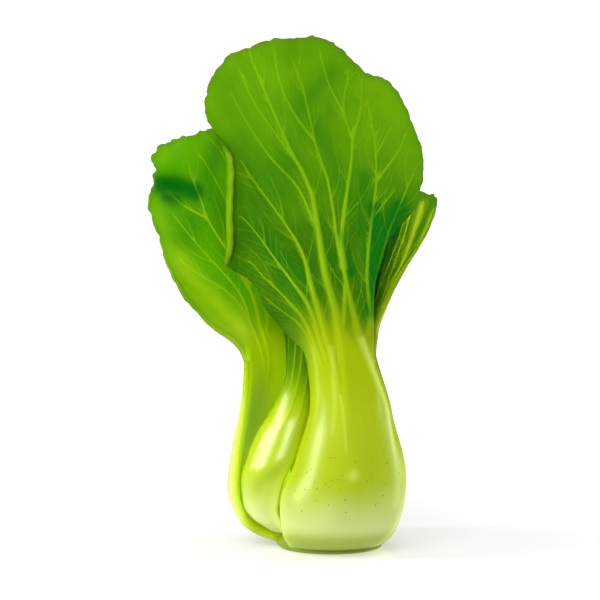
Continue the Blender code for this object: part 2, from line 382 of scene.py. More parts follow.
def to_segment(spots, start, way):
    """Each spot's share of the way along a segment, its distance, and if it lies to the left."""
    past = spots - start
    share = (past @ way) / max(way @ way, 1e-6)
    gap = np.linalg.norm(past - np.clip(share, 0, 1)[:, None] * way, axis=1)
    return share, gap, way[0] * past[:, 1] > way[1] * past[:, 0]


# %% [markdown]
# ## How a leaf is described
#
# A real leaf grows flat and is then bent round its neighbours, so the description has two
# halves. The flat pattern holds the petiole's widths, the blade's margin and the veins. The
# spine then bends it: at each height it says how far out the leaf stands, which way it looks
# and how tightly its section curves.

# %% The leaf record
@dataclass
class Fold:
    """A line on the flat pattern beyond which the sheet rolls over to its outer face."""

    line: list
    radius: float
    turn: float  # degrees


@dataclass
class Leaf:
    """One leaf. Heights and lengths are in millimetres, angles in degrees."""

    node: str
    facing: float  # where the back of the petiole looks, 0 = +X, 90 = +Y
    spine: list  # height, distance out, shift sideways, turn, section radius
    left: list  # the petiole's half-widths by height
    right: list
    margin: list  # the blade's outline from the neck's left over the tip to its right
    flesh: list  # height, thickness in the middle
    ribs: list = field(default_factory=list)  # half-width at the root, at the tip, its points
    folds: list = field(default_factory=list)
    swells: list = field(default_factory=list)  # reach, height, half-size, lift out of the sheet
    # These strokes of darker green are painted shade, where other leaves shut out the light; the
    # next ones are painted light: highlights and lit patches.
    painted_shade: list = field(default_factory=list)  # strokes of deep green: strength, half-width, points
    painted_light: list = field(default_factory=list)  # strokes of pale green, likewise
    painted_shade_inside: bool = False  # on which face the deep strokes lie
    edge_flesh: float = 1.3
    columns: int = 120
    rows: int = 120
    ripple: float = 1.0  # how far the blade's margin waves out of its sheet
    teeth: float = 0.25  # how deep its notches are
    green_from: tuple = (52.0, 90.0)  # heights between which the petiole turns into blade
    calm: tuple = (40.0, 40.0)  # how far from the neck the margin stays smooth, left and right
    seed: int = 1


# %% Bending the flat pattern
NECK_SHARE = 0.30  # the share of a leaf's rows that its petiole takes
ROW_EASING = 1.1
NECK_CLIMB = 0.5
PROBE = 0.2  # mm between the places that give the sheet's directions
FOLD_REACH = 25.0  # no folded flap is wider than this
FOLD_CALM = 9.0  # mm from a fold within which the sheet doesn't ruffle


def leaf_pattern(leaf, s, t, margin=None):
    """The flat pattern: sideways reach and height at share s up the leaf, t across it."""
    foot, neck = leaf.left[0][0], leaf.left[-1][0]
    height = foot + (neck - foot) * np.clip(s / NECK_SHARE, 0.0, 1.0) ** ROW_EASING
    left = monotone(*zip(*leaf.left), height)
    right = monotone(*zip(*leaf.right), height)
    share = (t + 1) / 2
    start = np.stack([right * share - left * (1 - share), height], axis=-1)
    end = smooth_curve(leaf.margin, share) if margin is None else margin
    u = np.clip((s - NECK_SHARE) / (1 - NECK_SHARE), 0.0, 1.0)[..., None]
    climb = NECK_CLIMB * np.linalg.norm(end - start, axis=-1, keepdims=True)
    control = start + climb * np.array([0.0, 1.0])
    return (1 - u) ** 2 * start + 2 * u * (1 - u) * control + u**2 * end


def bend(leaf, reach, height):
    """Places on the leaf's outer face for places on its flat pattern."""
    heights, *columns = zip(*leaf.spine)
    out, side, turn, radius = (monotone(heights, column, height) for column in columns)
    base = math.radians(leaf.facing)
    look = base + np.radians(turn)
    arc = reach / radius
    across, back = radius * np.sin(arc), radius * (1 - np.cos(arc))
    x = out * math.cos(base) - side * math.sin(base) - across * np.sin(look) - back * np.cos(look)
    y = out * math.sin(base) + side * math.cos(base) + across * np.cos(look) - back * np.sin(look)
    return np.stack([x, y, height], axis=-1)


def frame_at(leaf, pattern):
    """The place on the bent sheet and the two ways along it, from the flat pattern."""
    here = bend(leaf, pattern[..., 0], pattern[..., 1])
    across = bend(leaf, pattern[..., 0] + PROBE, pattern[..., 1]) - here
    up = bend(leaf, pattern[..., 0], pattern[..., 1] + PROBE) - here
    return here, across / PROBE, up / PROBE


def beyond_line(pattern, line):
    """Distance beyond a line on the pattern, the nearest point on it, and the way out."""
    line = smooth_curve(line, np.linspace(0, 1, 41))
    start, way = line[:-1], np.diff(line, axis=0)
    flat = pattern.reshape(-1, 1, 2)
    along = ((flat - start) * way).sum(-1) / (way**2).sum(-1)
    nearest = start + np.clip(along, 0, 1)[..., None] * way
    best = np.linalg.norm(flat - nearest, axis=-1).argmin(axis=1)
    foot = nearest[np.arange(len(best)), best]
    out = unit(np.stack([-way[:, 1], way[:, 0]], axis=-1))[best]
    beyond = ((flat[:, 0] - foot) * out).sum(-1)
    shape = pattern.shape[:-1]
    return beyond.reshape(shape), foot.reshape(*shape, 2), out.reshape(*shape, 2)


def bent_and_folded(leaf, pattern):
    """Places on the outer face, the way out of it, and how calm the sheet lies near a fold."""
    place, across, up = frame_at(leaf, pattern)
    outward = unit(np.cross(across, up))
    calm = np.ones(pattern.shape[:-1])
    for fold in leaf.folds:
        beyond, foot, out = beyond_line(pattern, fold.line)
        here, across, up = frame_at(leaf, foot)
        ahead = unit(across * out[..., :1] + up * out[..., 1:])
        back = unit(np.cross(across, up))
        turn = math.radians(fold.turn)
        angle = np.clip(beyond / fold.radius, 0.0, turn)[..., None]
        past = np.maximum(beyond - fold.radius * turn, 0.0)[..., None]
        rolled = (
            here
            + fold.radius * (ahead * np.sin(angle) + back * (1 - np.cos(angle)))
            + past * (ahead * np.cos(angle) + back * np.sin(angle))
        )
        turned = back * np.cos(angle) - ahead * np.sin(angle)
        folded = (beyond[..., None] > 0) & (beyond[..., None] < FOLD_REACH)
        place = np.where(folded, rolled, place)
        outward = np.where(folded, turned, outward)
        calm = calm * ease(0.0, FOLD_CALM, -beyond)
    return place, outward, calm


# %% [markdown]
# ## Veins
#
# Thick ribs run out of the petiole and fan over the blade, and thinner veins leave them at a
# slant. Each is a short list of points on the flat pattern. Side veins are grown from the
# thick ribs by rule with a fixed seed, as a plant grows them: on alternate sides, leaning
# forward and running out before they meet the next rib.
#
# Only the thick ribs are raised. A thin vein is finer than the grid, so the sheet stores how
# far the nearest vein is and to which side, and the finish draws the line from that.

# %% Vein rules
VEIN_STEPS = 14
VEIN_TAPER = 2.2
FINEST_RELIEF = 0.42  # mm: no vein is raised thinner than the grid can carry
FAR_FROM_VEINS = 50.0  # mm
THICK_RIB = 0.85  # ribs with a wider root than this carry side veins and rows of fine ones
SIDE_VEINS_ABOVE = 74.0  # mm up the pattern
RIB_SIDES_APART = 0.9  # mm by which the rows on a rib's two sides are out of step
RULE_RIB_STEPS = 9
RULE_RIB_REACH = 0.85


def side_veins(ribs, rng, every, lean, length, width):
    """Thin veins that leave every thick rib on alternate sides."""
    grown = []
    for rib in ribs:
        if rib[0] < THICK_RIB:
            continue
        line = smooth_curve(rib[2], np.linspace(0, 1, 60))
        along = travel(line)
        spot = rng.uniform(0.3, 0.8) * every
        side = 1 if rng.random() < 0.5 else -1
        while spot < along[-1] - 2:
            i = np.searchsorted(along, spot)
            start = line[i]
            way = unit(line[min(i + 3, 59)] - line[max(i - 3, 0)])
            if start[1] > SIDE_VEINS_ABOVE:
                angle = math.radians(side * rng.uniform(0.85, 1.15) * lean)
                cosine, sine = math.cos(angle), math.sin(angle)
                out = np.array([[cosine, -sine], [sine, cosine]]) @ way
                size = rng.uniform(*length) * (1 - 0.4 * spot / along[-1])
                middle = start + 0.55 * size * out
                end = start + size * unit(out + 0.3 * way)
                grown.append((width, 0.5 * width, [tuple(start), tuple(middle), tuple(end)]))
            side = -side
            spot += rng.uniform(0.7, 1.3) * every
    return grown


def rule_ribs(leaf, pairs, root):
    """A midrib and pairs of ribs that fan from the petiole to the margin."""
    s = np.linspace(0.34, 0.97, RULE_RIB_STEPS)
    ribs = [(root, 0.35, [tuple(p) for p in leaf_pattern(leaf, s, 0 * s)])]
    for k in range(1, pairs + 1):
        for side in (-1, 1):
            lean = side * RULE_RIB_REACH * k / pairs * np.linspace(0.4, 1.0, RULE_RIB_STEPS)
            points = leaf_pattern(leaf, s, lean)
            ribs.append((root * (1 - 0.45 * k / pairs), 0.25, [tuple(p) for p in points]))
    return ribs


# %% Where the veins lie
def vein_line(points):
    return smooth_curve(points, np.linspace(0, 1, VEIN_STEPS))


def vein_fields(pattern, ribs):
    """Rib relief in mm, the halo of thick ribs, and the side, width and strength of veins.

    The side is the distance to the nearest vein, signed by which side of it a place lies on,
    so it passes evenly through nothing and the shader can draw a line finer than the grid.
    """
    flat = pattern.reshape(-1, 2).astype(np.float32)
    relief, halo = np.zeros((2, len(flat)), np.float32)
    side, nearest = np.full((2, len(flat)), FAR_FROM_VEINS, np.float32)
    width_here = np.full(len(flat), 0.3, np.float32)
    for root, tip, points in ribs:
        line = vein_line(points).astype(np.float32)
        widths = tip + (root - tip) * (1 - np.linspace(0, 1, VEIN_STEPS)) ** VEIN_TAPER
        reach = max(3 * root, 2.0)
        low, high = line.min(0) - reach, line.max(0) + reach
        near = np.flatnonzero(((flat > low) & (flat < high)).all(1))
        for k in range(VEIN_STEPS - 1):
            share, gap, left = to_segment(flat[near], line[k], line[k + 1] - line[k])
            width = widths[k] + (widths[k + 1] - widths[k]) * np.clip(share, 0, 1)
            shape = np.exp(-((gap / np.maximum(width, FINEST_RELIEF)) ** 2))
            raised = 0.6 * width**0.75 * np.clip(2 * width - 0.4, 0, 1)
            relief[near] = np.maximum(relief[near], raised * shape)
            wide = np.exp(-((gap / (1.25 * width)) ** 4)) * np.clip(1.5 * width - 0.9, 0, 1)
            halo[near] = np.maximum(halo[near], wide)
            closer = gap - width < nearest[near]
            spot = near[closer]
            nearest[spot] = (gap - width)[closer]
            side[spot] = np.where(left, gap, -gap)[closer]
            width_here[spot] = width[closer]
    strength = np.minimum(1.0, 0.30 + 1.2 * width_here)
    shape = pattern.shape[:-1]
    return [values.reshape(shape) for values in (relief, halo, side, width_here, strength)]


def nearest_rib(pattern, ribs):
    """How far the nearest thick rib is, and how far up it that is, both in mm."""
    flat = pattern.reshape(-1, 2).astype(np.float32)
    gap = np.full(len(flat), 1e3, np.float32)
    climb = np.zeros(len(flat), np.float32)
    for root, _, points in ribs:
        if root < THICK_RIB:
            continue
        line = vein_line(points).astype(np.float32)
        travelled = 0.0
        for k in range(VEIN_STEPS - 1):
            length = float(np.linalg.norm(line[k + 1] - line[k]))
            share, far, left = to_segment(flat, line[k], line[k + 1] - line[k])
            if k == VEIN_STEPS - 2:
                far += 3 * length * np.maximum(share - 1, 0)
            closer = far < gap
            here = travelled + np.clip(share, 0, 1) * length + np.where(left, RIB_SIDES_APART, 0.0)
            gap[closer] = far[closer]
            climb[closer] = here[closer]
            travelled += length
    return gap.reshape(pattern.shape[:-1]), climb.reshape(pattern.shape[:-1])


def brushed(pattern, strokes):
    """How strongly soft strokes cover each place. A stroke of one point is a soft spot."""
    flat = pattern.reshape(-1, 2)
    cover = np.zeros(len(flat))
    for strength, width, points in strokes:
        line = vein_line(points if len(points) > 1 else 2 * points)
        gaps = [to_segment(flat, line[k], line[k + 1] - line[k])[1] for k in range(len(line) - 1)]
        cover = np.maximum(cover, strength * np.exp(-((np.min(gaps, axis=0) / width) ** 2)))
    return cover.reshape(pattern.shape[:-1])


# %% [markdown]
# ## A leaf as one closed sheet
#
# The outer face is a fine grid laid over the pattern and bent. The inner face is the same
# grid pushed in by the flesh's thickness, and a half-round rim joins the two, so the sheet is
# closed and its edges are soft. What the finish needs to know is stored on the points: where
# each lies on the pattern, how much of it is vein, which face it is on and how near the edge.

# %% A leaf's two faces
CRESCENT_POWER = 2.4
CRESCENT_FULLNESS = 0.6
TOOTH_WAVES = ((23.0, 0.5), (11.0, 0.5), (6.3, 0.7), (4.1, 0.6), (2.7, 0.4))  # mm, size
RUFFLE_WAVES = ((61.0, 1.0), (34.0, 0.6), (17.0, 0.35), (9.0, 0.15))


def waves(rng, along, parts):
    """Sines along an edge, each with its own random start."""
    return sum(
        size * np.sin(2 * math.pi * (along / length + rng.random())) for length, size in parts
    )


def margin_with_teeth(leaf, rng, share):
    """The blade's outline with its small notches, how far along each is, and its calm ends."""
    line = smooth_curve(leaf.margin, share)
    way = np.gradient(line, axis=0)
    out = unit(np.stack([-way[:, 1], way[:, 0]], axis=-1))
    along = travel(line)
    wave = waves(rng, along, TOOTH_WAVES)
    calm_left, calm_right = leaf.calm
    ends = ease(4, calm_left, along) * ease(4, calm_right, along[-1] - along)
    return line + out * (leaf.teeth * wave * ends)[:, None], along, ends


def leaf_faces(leaf, rng, s, t):
    """The flat pattern, the outer face, the way out of it, the flesh and how much is blade."""
    margin, along, ends = margin_with_teeth(leaf, rng, (t[0] + 1) / 2)
    pattern = leaf_pattern(leaf, s, t, np.broadcast_to(margin, (*t.shape, 2)))
    height = pattern[..., 1]
    place, away, calm = bent_and_folded(leaf, pattern)
    blade = ease(NECK_SHARE, 0.75, s)
    swing = waves(rng, along, RUFFLE_WAVES)
    ruffle = leaf.ripple * swing * ends * blade**2.5 * ease(0.7, 1, s)
    for reach, level, size, lift in leaf.swells:
        distance = np.hypot(pattern[..., 0] - reach, height - level)
        ruffle = ruffle + lift * np.exp(-((distance / size) ** 2))
    outer = place + away * (ruffle * calm)[..., None]
    middle = monotone(*zip(*leaf.flesh), height)
    edge = np.minimum(leaf.edge_flesh, middle) * (1 - 0.6 * ease(0.42, 0.8, s))
    crescent = (1 - np.abs(t) ** CRESCENT_POWER) ** CRESCENT_FULLNESS
    return pattern, outer, away, edge + (middle - edge) * crescent, blade


# %% Close a leaf's sheet
RIM_STEPS = 4
RIM_BULGE = 0.8  # how far the rim stands out, as a share of a half-round's
INNER_RELIEF = -0.35  # ribs leave grooves on the inner face, as a share of their height
RIM_VEIN = 0.15  # how much of the rim's colour is a vein's
SIDE_VEINS = {"every": 11.0, "lean": 29.0, "length": (14.0, 26.0), "width": 0.29}


def closed_sheet(outer, inner):
    """Points and faces of two grids joined by a rim, and the loop of points that it follows."""
    count = outer.shape[0] * outer.shape[1]
    grid = np.arange(count).reshape(outer.shape[:2])
    quads = np.stack([grid[:-1, :-1], grid[:-1, 1:], grid[1:, 1:], grid[1:, :-1]], -1)
    quads = quads.reshape(-1, 4)
    faces = [quads, quads[:, ::-1] + count]
    loop = np.concatenate([grid[0, :-1], grid[:-1, -1], grid[-1, :0:-1], grid[:0:-1, 0]])
    inside = np.concatenate([grid[1, :-1], grid[:-1, -2], grid[-2, :0:-1], grid[:0:-1, 1]])
    outer, inner = outer.reshape(-1, 3), inner.reshape(-1, 3)
    half = (outer[loop] - inner[loop]) / 2
    centre = (outer[loop] + inner[loop]) / 2
    out = unit(outer[loop] - outer[inside])
    size = np.linalg.norm(half, axis=-1, keepdims=True)
    out = unit(out - half * (out * half).sum(-1, keepdims=True) / np.maximum(size, 1e-9) ** 2)
    rim, strips = [], [loop]
    for k in range(1, RIM_STEPS):
        angle = math.pi * k / RIM_STEPS
        rim.append(centre + half * math.cos(angle) + out * size * math.sin(angle) * RIM_BULGE)
        strips.append(2 * count + (k - 1) * len(loop) + np.arange(len(loop)))
    strips.append(loop + count)
    for low, high in zip(strips[:-1], strips[1:]):
        faces.append(np.stack([np.roll(low, -1), low, high, np.roll(high, -1)], -1))
    return np.concatenate([outer, inner, *rim]) * MM, np.concatenate(faces), loop


# %% Store what the finish needs
def quad_mesh(name, points, faces):
    mesh = bpy.data.meshes.new(name)
    mesh.vertices.add(len(points))
    mesh.vertices.foreach_set("co", points.ravel())
    mesh.loops.add(faces.size)
    mesh.loops.foreach_set("vertex_index", faces.ravel())
    mesh.polygons.add(len(faces))
    mesh.polygons.foreach_set("loop_start", np.arange(0, faces.size, 4))
    mesh.update(calc_edges=True)
    mesh.shade_smooth()
    return mesh


def store(mesh, name, values):
    """Keeps a number or a vector for each point of a mesh."""
    kind, key = ("FLOAT_VECTOR", "vector") if np.ndim(values) == 2 else ("FLOAT", "value")
    mesh.attributes.new(name, kind, "POINT").data.foreach_set(key, np.ravel(values))


def make_sheet(leaf):
    """The leaf's mesh, with its relief still flat, and what its finish needs on the points."""
    rng = np.random.default_rng(leaf.seed)
    t, s = np.meshgrid(np.linspace(-1, 1, leaf.columns), np.linspace(0, 1, leaf.rows))
    pattern, outer, away, flesh, blade = leaf_faces(leaf, rng, s, t)
    height = pattern[..., 1]
    green_low, green_high = leaf.green_from
    green = ease(green_low, green_high, height) * (1 - ease(2.0, 5.0, flesh))
    ribs = leaf.ribs + side_veins(leaf.ribs, rng, **SIDE_VEINS)
    rib_gap, rib_climb = nearest_rib(pattern, leaf.ribs)
    relief, halo, vein_side, vein_width, vein = vein_fields(pattern, ribs)
    rise_in = ease(green_low - 25, green_high, height)
    edge = np.maximum(np.abs(t), np.where(s > NECK_SHARE, s, 0))
    fade = 1 - ease(0.93, 1.0, edge)
    veined = np.exp(-((vein_side / np.maximum(vein_width, FINEST_RELIEF)) ** 2))
    points, faces, loop = closed_sheet(outer, outer - away * flesh[..., None])
    mesh = quad_mesh(leaf.node + "_sheet", points, faces)

    def spread(on_outer, on_inner, on_rim):
        """One value or row for each point: the outer face, the inner one, then the rim."""
        return np.concatenate([on_outer, on_inner, *on_rim])

    def both(values, rim_value=None):
        flat = np.asarray(values, float).reshape(height.size, -1).squeeze()
        rim = flat[loop] if rim_value is None else np.full(len(loop), rim_value)
        return spread(flat, flat, [rim] * (RIM_STEPS - 1))

    steps = range(1, RIM_STEPS)
    ones, rim = np.ones(height.size), np.ones(len(loop))
    inner_face = spread(0 * ones, ones, [rim * k / RIM_STEPS for k in steps])
    sign = spread(ones, INNER_RELIEF * ones, [0 * rim for k in steps])
    flat_pattern = np.concatenate([pattern, np.zeros((*t.shape, 1))], -1) * MM
    on_face = inner_face if leaf.painted_shade_inside else 1 - inner_face
    plain = {
        "pattern": flat_pattern, "outward": away, "vein_side": vein_side,
        "vein_width": vein_width, "rib_gap": rib_gap, "rib_climb": rib_climb, "halo": halo,
        # The strokes stored next are painted light: highlights and lit patches.
        "blade": blade, "green": green, "painted_light": brushed(pattern, leaf.painted_light),
    }
    for name, values in plain.items():
        store(mesh, name, both(values))
    store(mesh, "relief", both(relief * rise_in * fade) * sign * MM)
    store(mesh, "pucker", both(blade * (1 - veined) * fade) * (sign != 0))
    store(mesh, "vein", both(vein * rise_in, RIM_VEIN))
    store(mesh, "inner_face", inner_face)
    store(mesh, "edge", both(edge, 1.0))
    # Painted shade, kept on the face from which the shade is seen.
    store(mesh, "painted_shade", both(brushed(pattern, leaf.painted_shade)) * on_face)
    return mesh


# %% [markdown]
# ## Raising the relief with Geometry Nodes
#
# Ribs stand proud of the outer face and leave shallow grooves inside, and the green between
# them puckers. That rule is the same for every leaf and only its sizes differ, so it is one
# Geometry Nodes tree with named inputs, used on every sheet.

# %% Geometry Nodes helpers
class Grower(Net):
    """A Geometry Nodes tree with named inputs, which ends in plain mesh that wears a skin."""

    def __init__(self, name, inputs):
        super().__init__(bpy.data.node_groups.new(name, "GeometryNodeTree"))
        self.ids = {}
        self.socket("Geometry", "INPUT", "Geometry")
        for label, (kind, value) in inputs.items():
            socket = self.socket(label, "INPUT", kind)
            socket.default_value = value
            self.ids[label] = socket.identifier
        self.ids["Skin"] = self.socket("Skin", "INPUT", "Material").identifier
        self.socket("Geometry", "OUTPUT", "Geometry")
        self.entry = self.tree.nodes.new("NodeGroupInput")
        self.exit = self.tree.nodes.new("NodeGroupOutput")

    def socket(self, label, way, kind):
        return self.tree.interface.new_socket(
            label, in_out=way, socket_type="NodeSocket" + kind
        )

    def given(self, label):
        return Signal(self, self.entry.outputs[label])

    def named(self, name, kind="FLOAT"):
        return self.node("GeometryNodeInputNamedAttribute", {"data_type": kind}, {"Name": name})

    def done(self, geometry):
        real = self.node("GeometryNodeRealizeInstances", {}, {"Geometry": geometry})
        worn = {"Geometry": real, "Material": self.given("Skin")}
        self.feed(self.exit.inputs[0], self.node("GeometryNodeSetMaterial", {}, worn))
        print(self.tree.name, len(self.tree.nodes), "nodes")
        return self


def grown(source_mesh, grower, name, settings):
    """The plain mesh that a tree makes from a source mesh, as a new object."""
    source = put(name + "_source", source_mesh)
    modifier = source.modifiers.new("grow", "NODES")
    modifier.node_group = grower.tree
    for label, value in settings.items():
        modifier[grower.ids[label]] = value
    depsgraph = bpy.context.evaluated_depsgraph_get()
    depsgraph.update()
    mesh = bpy.data.meshes.new_from_object(
        source.evaluated_get(depsgraph), preserve_all_data_layers=True, depsgraph=depsgraph
    )
    mesh.name = name
    source.modifiers.remove(modifier)
    bpy.data.objects.remove(source)
    return put(name, mesh)


# %% The relief tree
def relief_tree():
    grow = Grower(
        "raise_relief",
        {
            "Rib height": ("Float", 1.0),
            "Pucker height": ("Float", 0.5 * MM),
            "Puckers per metre": ("Float", 110.0),
            "Seed": ("Int", 1),
        },
    )
    noise = grow.node(
        "ShaderNodeTexNoise",
        {"noise_dimensions": "4D"},
        {
            "Vector": grow.named("pattern", "FLOAT_VECTOR"),
            "W": grow.given("Seed"),
            "Scale": grow.given("Puckers per metre"),
            "Detail": 1.5,
        },
    )
    ribs = grow.named("relief") * grow.given("Rib height")
    swell = (noise - 0.5) * grow.given("Pucker height") * grow.named("pucker")
    offset = grow.node(
        "ShaderNodeVectorMath",
        {"operation": "SCALE"},
        {0: grow.named("outward", "FLOAT_VECTOR"), "Scale": ribs + swell},
    )
    return grow.done(
        grow.node(
            "GeometryNodeSetPosition", {}, {"Geometry": grow.given("Geometry"), "Offset": offset}
        )
    )


raised = relief_tree()

# %% [markdown]
# ## The leaves
#
# Five outer leaves make the head's outline, and six smaller ones fill its heart. The front
# leaf is the largest: its back is seen, and its left margin is rolled over. The left one is
# turned so that its inner face is seen, with its top corner bent over. Between them sits a
# shorter leaf with a bulb of a petiole. The measured ones list their ribs, and the hidden
# ones grow theirs by rule.

# %% Front leaf
FRONT = Leaf(
    node='leaf_front',
    facing=-90,
    spine=[
        (1.6, 19.3, 0, 0, 19.3),
        (4.0, 24.5, 1.5, 0, 20.5),
        (9.0, 28.8, 3, 0, 22),
        (19, 31, 4.2, 0, 22.8),
        (34, 28.5, 6.8, 0, 20),
        (50, 23, 7, 0, 15.5),
        (66, 18.5, 4.4, 0, 14),
        (80, 16.5, 1, 0, 22),
        (100, 17, -2, 0, 60),
        (130, 19, -5, 0, 110),
        (160, 22, -8, 0, 110),
        (183, 25, -9, 0, 110),
    ],
    left=[(1.6, 16.5), (7, 25), (18, 30), (34, 25.5), (50, 19.5), (66, 16), (71, 15)],
    right=[(1.6, 18), (7, 23), (18, 29.5), (34, 25.5), (50, 19.5), (66, 16), (71, 14.5)],
    margin=[
        (-15.4, 72.4), (-17.4, 74), (-20, 76), (-22.6, 78.4), (-24.8, 82), (-25.8, 87),
        (-25.2, 91.5), (-27.1, 95), (-29.7, 98), (-33.2, 99.8), (-36.6, 101.3), (-37, 107),
        (-36.2, 116), (-35.2, 125), (-34.2, 134), (-33, 141), (-33.4, 147.5), (-35.4, 151),
        (-36.8, 155), (-37, 159), (-36.2, 163.2), (-34, 168.5), (-29.6, 173.9), (-26.4, 176.6),
        (-20, 179), (-14.2, 181.4), (-10.7, 182.3), (-4, 182.2), (0, 183), (4.4, 182.7),
        (10, 180.4), (14.2, 176.2), (17.7, 173), (22, 169.4), (26, 168.9), (29.8, 165.8),
        (33.8, 159.5), (36.4, 152.4), (38.2, 145.4), (38.9, 137), (37.9, 131), (36, 126.5),
        (33.8, 121.5), (28.6, 118.4), (25.3, 115.4), (22.8, 110.2), (20.3, 103.6), (17.6, 96.6),
        (15.9, 87.5), (15.4, 80), (15, 75),
    ],
    flesh=[(1.6, 5), (9, 7), (20, 9), (50, 7), (70, 5), (85, 3), (105, 1.2), (125, 0.6)],
    ribs=[
        (3.0, 0.45, [(-2, 40), (-1.4, 54.7), (2.4, 79), (-0.3, 100.4), (-1.9, 128), (-4.9, 137.3),
            (-8.9, 146.1), (-12.3, 156.9), (-17.6, 171), (-19.8, 177)]),
        (2.3, 0.4, [(18.5, 36), (15.7, 51.7), (10, 70), (7.7, 86), (6.9, 97.4), (5.2, 112.9),
            (4.5, 130.6), (0.9, 146.5), (-0.8, 162.5), (-4.5, 174.3)]),
        (1.8, 0.9, [(-3, 58), (0.5, 72), (4.5, 86), (6.5, 96)]),
        (1.4, 0.35, [(6.5, 102), (6.9, 112.6), (10.2, 128.1), (14.1, 146.3), (12.1, 156.6),
            (14.4, 171.2)]),
        (0.6, 0.3, [(12.1, 156.6), (7.4, 166.4), (4.7, 177.2)]),
        (2.0, 0.4, [(9, 50), (10.5, 62), (12.5, 72), (15.1, 82.1), (14, 93.4), (17.5, 115.6),
            (20.9, 130.6), (21.9, 141.6), (21.6, 152.6), (20.7, 160.6)]),
        (0.7, 0.3, [(21.1, 132.3), (30.4, 143.1), (33.6, 149)]),
        (0.6, 0.3, [(21.9, 141.6), (27.9, 151.1)]),
        (0.6, 0.3, [(19.4, 120.4), (27.2, 129.1)]),
        (1.5, 0.35, [(12.8, 78), (18, 95.8), (22.6, 110.5), (28.4, 122.9), (35, 134.8)]),
        (2.1, 0.4, [(-2.5, 62), (-3.8, 84.6), (-5.5, 94.6), (-6.6, 104.5), (-8.8, 111),
            (-13.7, 119.6), (-19.3, 128.5), (-23.7, 135.4)]),
        (0.5, 0.3, [(-22.3, 133.1), (-27.9, 135.6)]),
        (0.5, 0.3, [(-23.7, 135.4), (-26, 139.7)]),
        (1.8, 0.35, [(-5, 66), (-6.9, 87.1), (-12, 96.6), (-17.5, 105.1), (-23.7, 114.8),
            (-27.6, 119.4)]),
        (1.6, 0.35, [(-7, 66), (-9.6, 82.3), (-17, 92.5), (-23.6, 99.2), (-27, 104.1)]),
        (1.4, 0.35, [(-8.8, 64), (-10.8, 79.1), (-19.9, 87.3), (-23.9, 90.9)]),
        (0.7, 0.3, [(-2.2, 118), (-7, 131), (-15.2, 141), (-22, 152), (-27, 163)]),
        (0.6, 0.3, [(-4.9, 137.3), (-13, 150), (-21, 164), (-24, 172)]),
        (0.6, 0.3, [(0.9, 146.5), (-6, 158), (-10, 170), (-11, 179)]),
        (0.6, 0.3, [(14.1, 146.3), (18, 158), (19, 168)]),
    ],
    folds=[
        Fold(
            line=[
                (-39, 98), (-36.4, 101.6), (-34.1, 106.7), (-32.7, 115.8), (-31.7, 124.9),
                (-30.6, 133.7), (-29.8, 141), (-32.2, 147.7), (-37, 152),
            ],
            radius=0.55,
            turn=172,
        ),
    ],
    swells=[
        (-12, 165, 10, 1.2), (8, 150, 9, -1.0), (24, 152, 9, 1.3), (-14, 135, 8, 0.9),
        (16, 171, 7, 1.0), (-24, 150, 8, -0.8), (32, 136, 7, -0.8),
    ],
    # Painted shade: where leaves behind the blade shut out the light that comes through it.
    painted_shade=[
        (1.0, 4.4, [(28.5, 122.5), (24, 116), (20.5, 106), (17.5, 96), (15.5, 86)]),
        (1.0, 3.6, [(19.5, 122.5), (19.5, 116), (18, 106), (16, 94)]),
        (0.4, 5, [(-21, 113), (-14, 101), (-9.5, 92)]),
        (0.25, 6, [(-26, 146), (-20, 136), (-14, 128)]),
        (0.35, 4, [(-1, 118), (2, 105)]),
        (0.32, 4, [(2, 152), (5, 143), (9, 132), (12.5, 123)]),
        (0.45, 3, [(17, 134), (15.2, 124), (14, 115)]),
        (0.8, 2.0, [(6.5, 115), (8.2, 107), (9.3, 100)]),
        (0.8, 2.2, [(24.3, 106.9), (22, 101.7), (19.8, 96.4)]),
        (0.3, 4, [(-3, 158), (1.5, 163), (8, 170)]),
        (0.25, 5, [(-14, 128), (-8, 140)]),
    ],
    # Painted light: highlights down the petiole and along its rolled margin, and lit patches on
    # the blade.
    painted_light=[
        (0.25, 8, [(26, 165), (30, 150), (33, 138)]),
        (0.14, 4, [(21, 165), (19.5, 150), (18, 139)]),
        (0.14, 0.5, [(-3.2, 57), (-2.6, 50), (-2.0, 43), (-1.6, 38)]),
        (0.8, 1.7, [(-36.8, 104), (-35.6, 116), (-34.6, 125), (-33.6, 134), (-32.8, 141)]),
        (0.42, 1.4, [(9.4, 76), (10.6, 69), (12.4, 61), (15.0, 51.7), (18.2, 38)]),
        (0.15, 3.0, [(-12.8, 44), (-14.9, 35.3), (-16.3, 29.3)]),
        (0.25, 2.6, [(-18.8, 22.3), (-17, 27)]),
        (0.3, 1.8, [(1.5, 30)]),
        (0.3, 2.4, [(18.7, 37.7), (21.5, 29.7), (22.5, 19.2)]),
        (0.12, 1.0, [(-9.3, 73.4), (-11.4, 61.2), (-15.3, 47.2)]),
        (0.12, 1.0, [(-2.3, 73.8), (-4.8, 59.8), (-6.9, 44.4)]),
    ],
    edge_flesh=1.6,
    columns=222,
    rows=214,
    ripple=0.9,
    calm=(70.0, 110.0),
    seed=11,
)

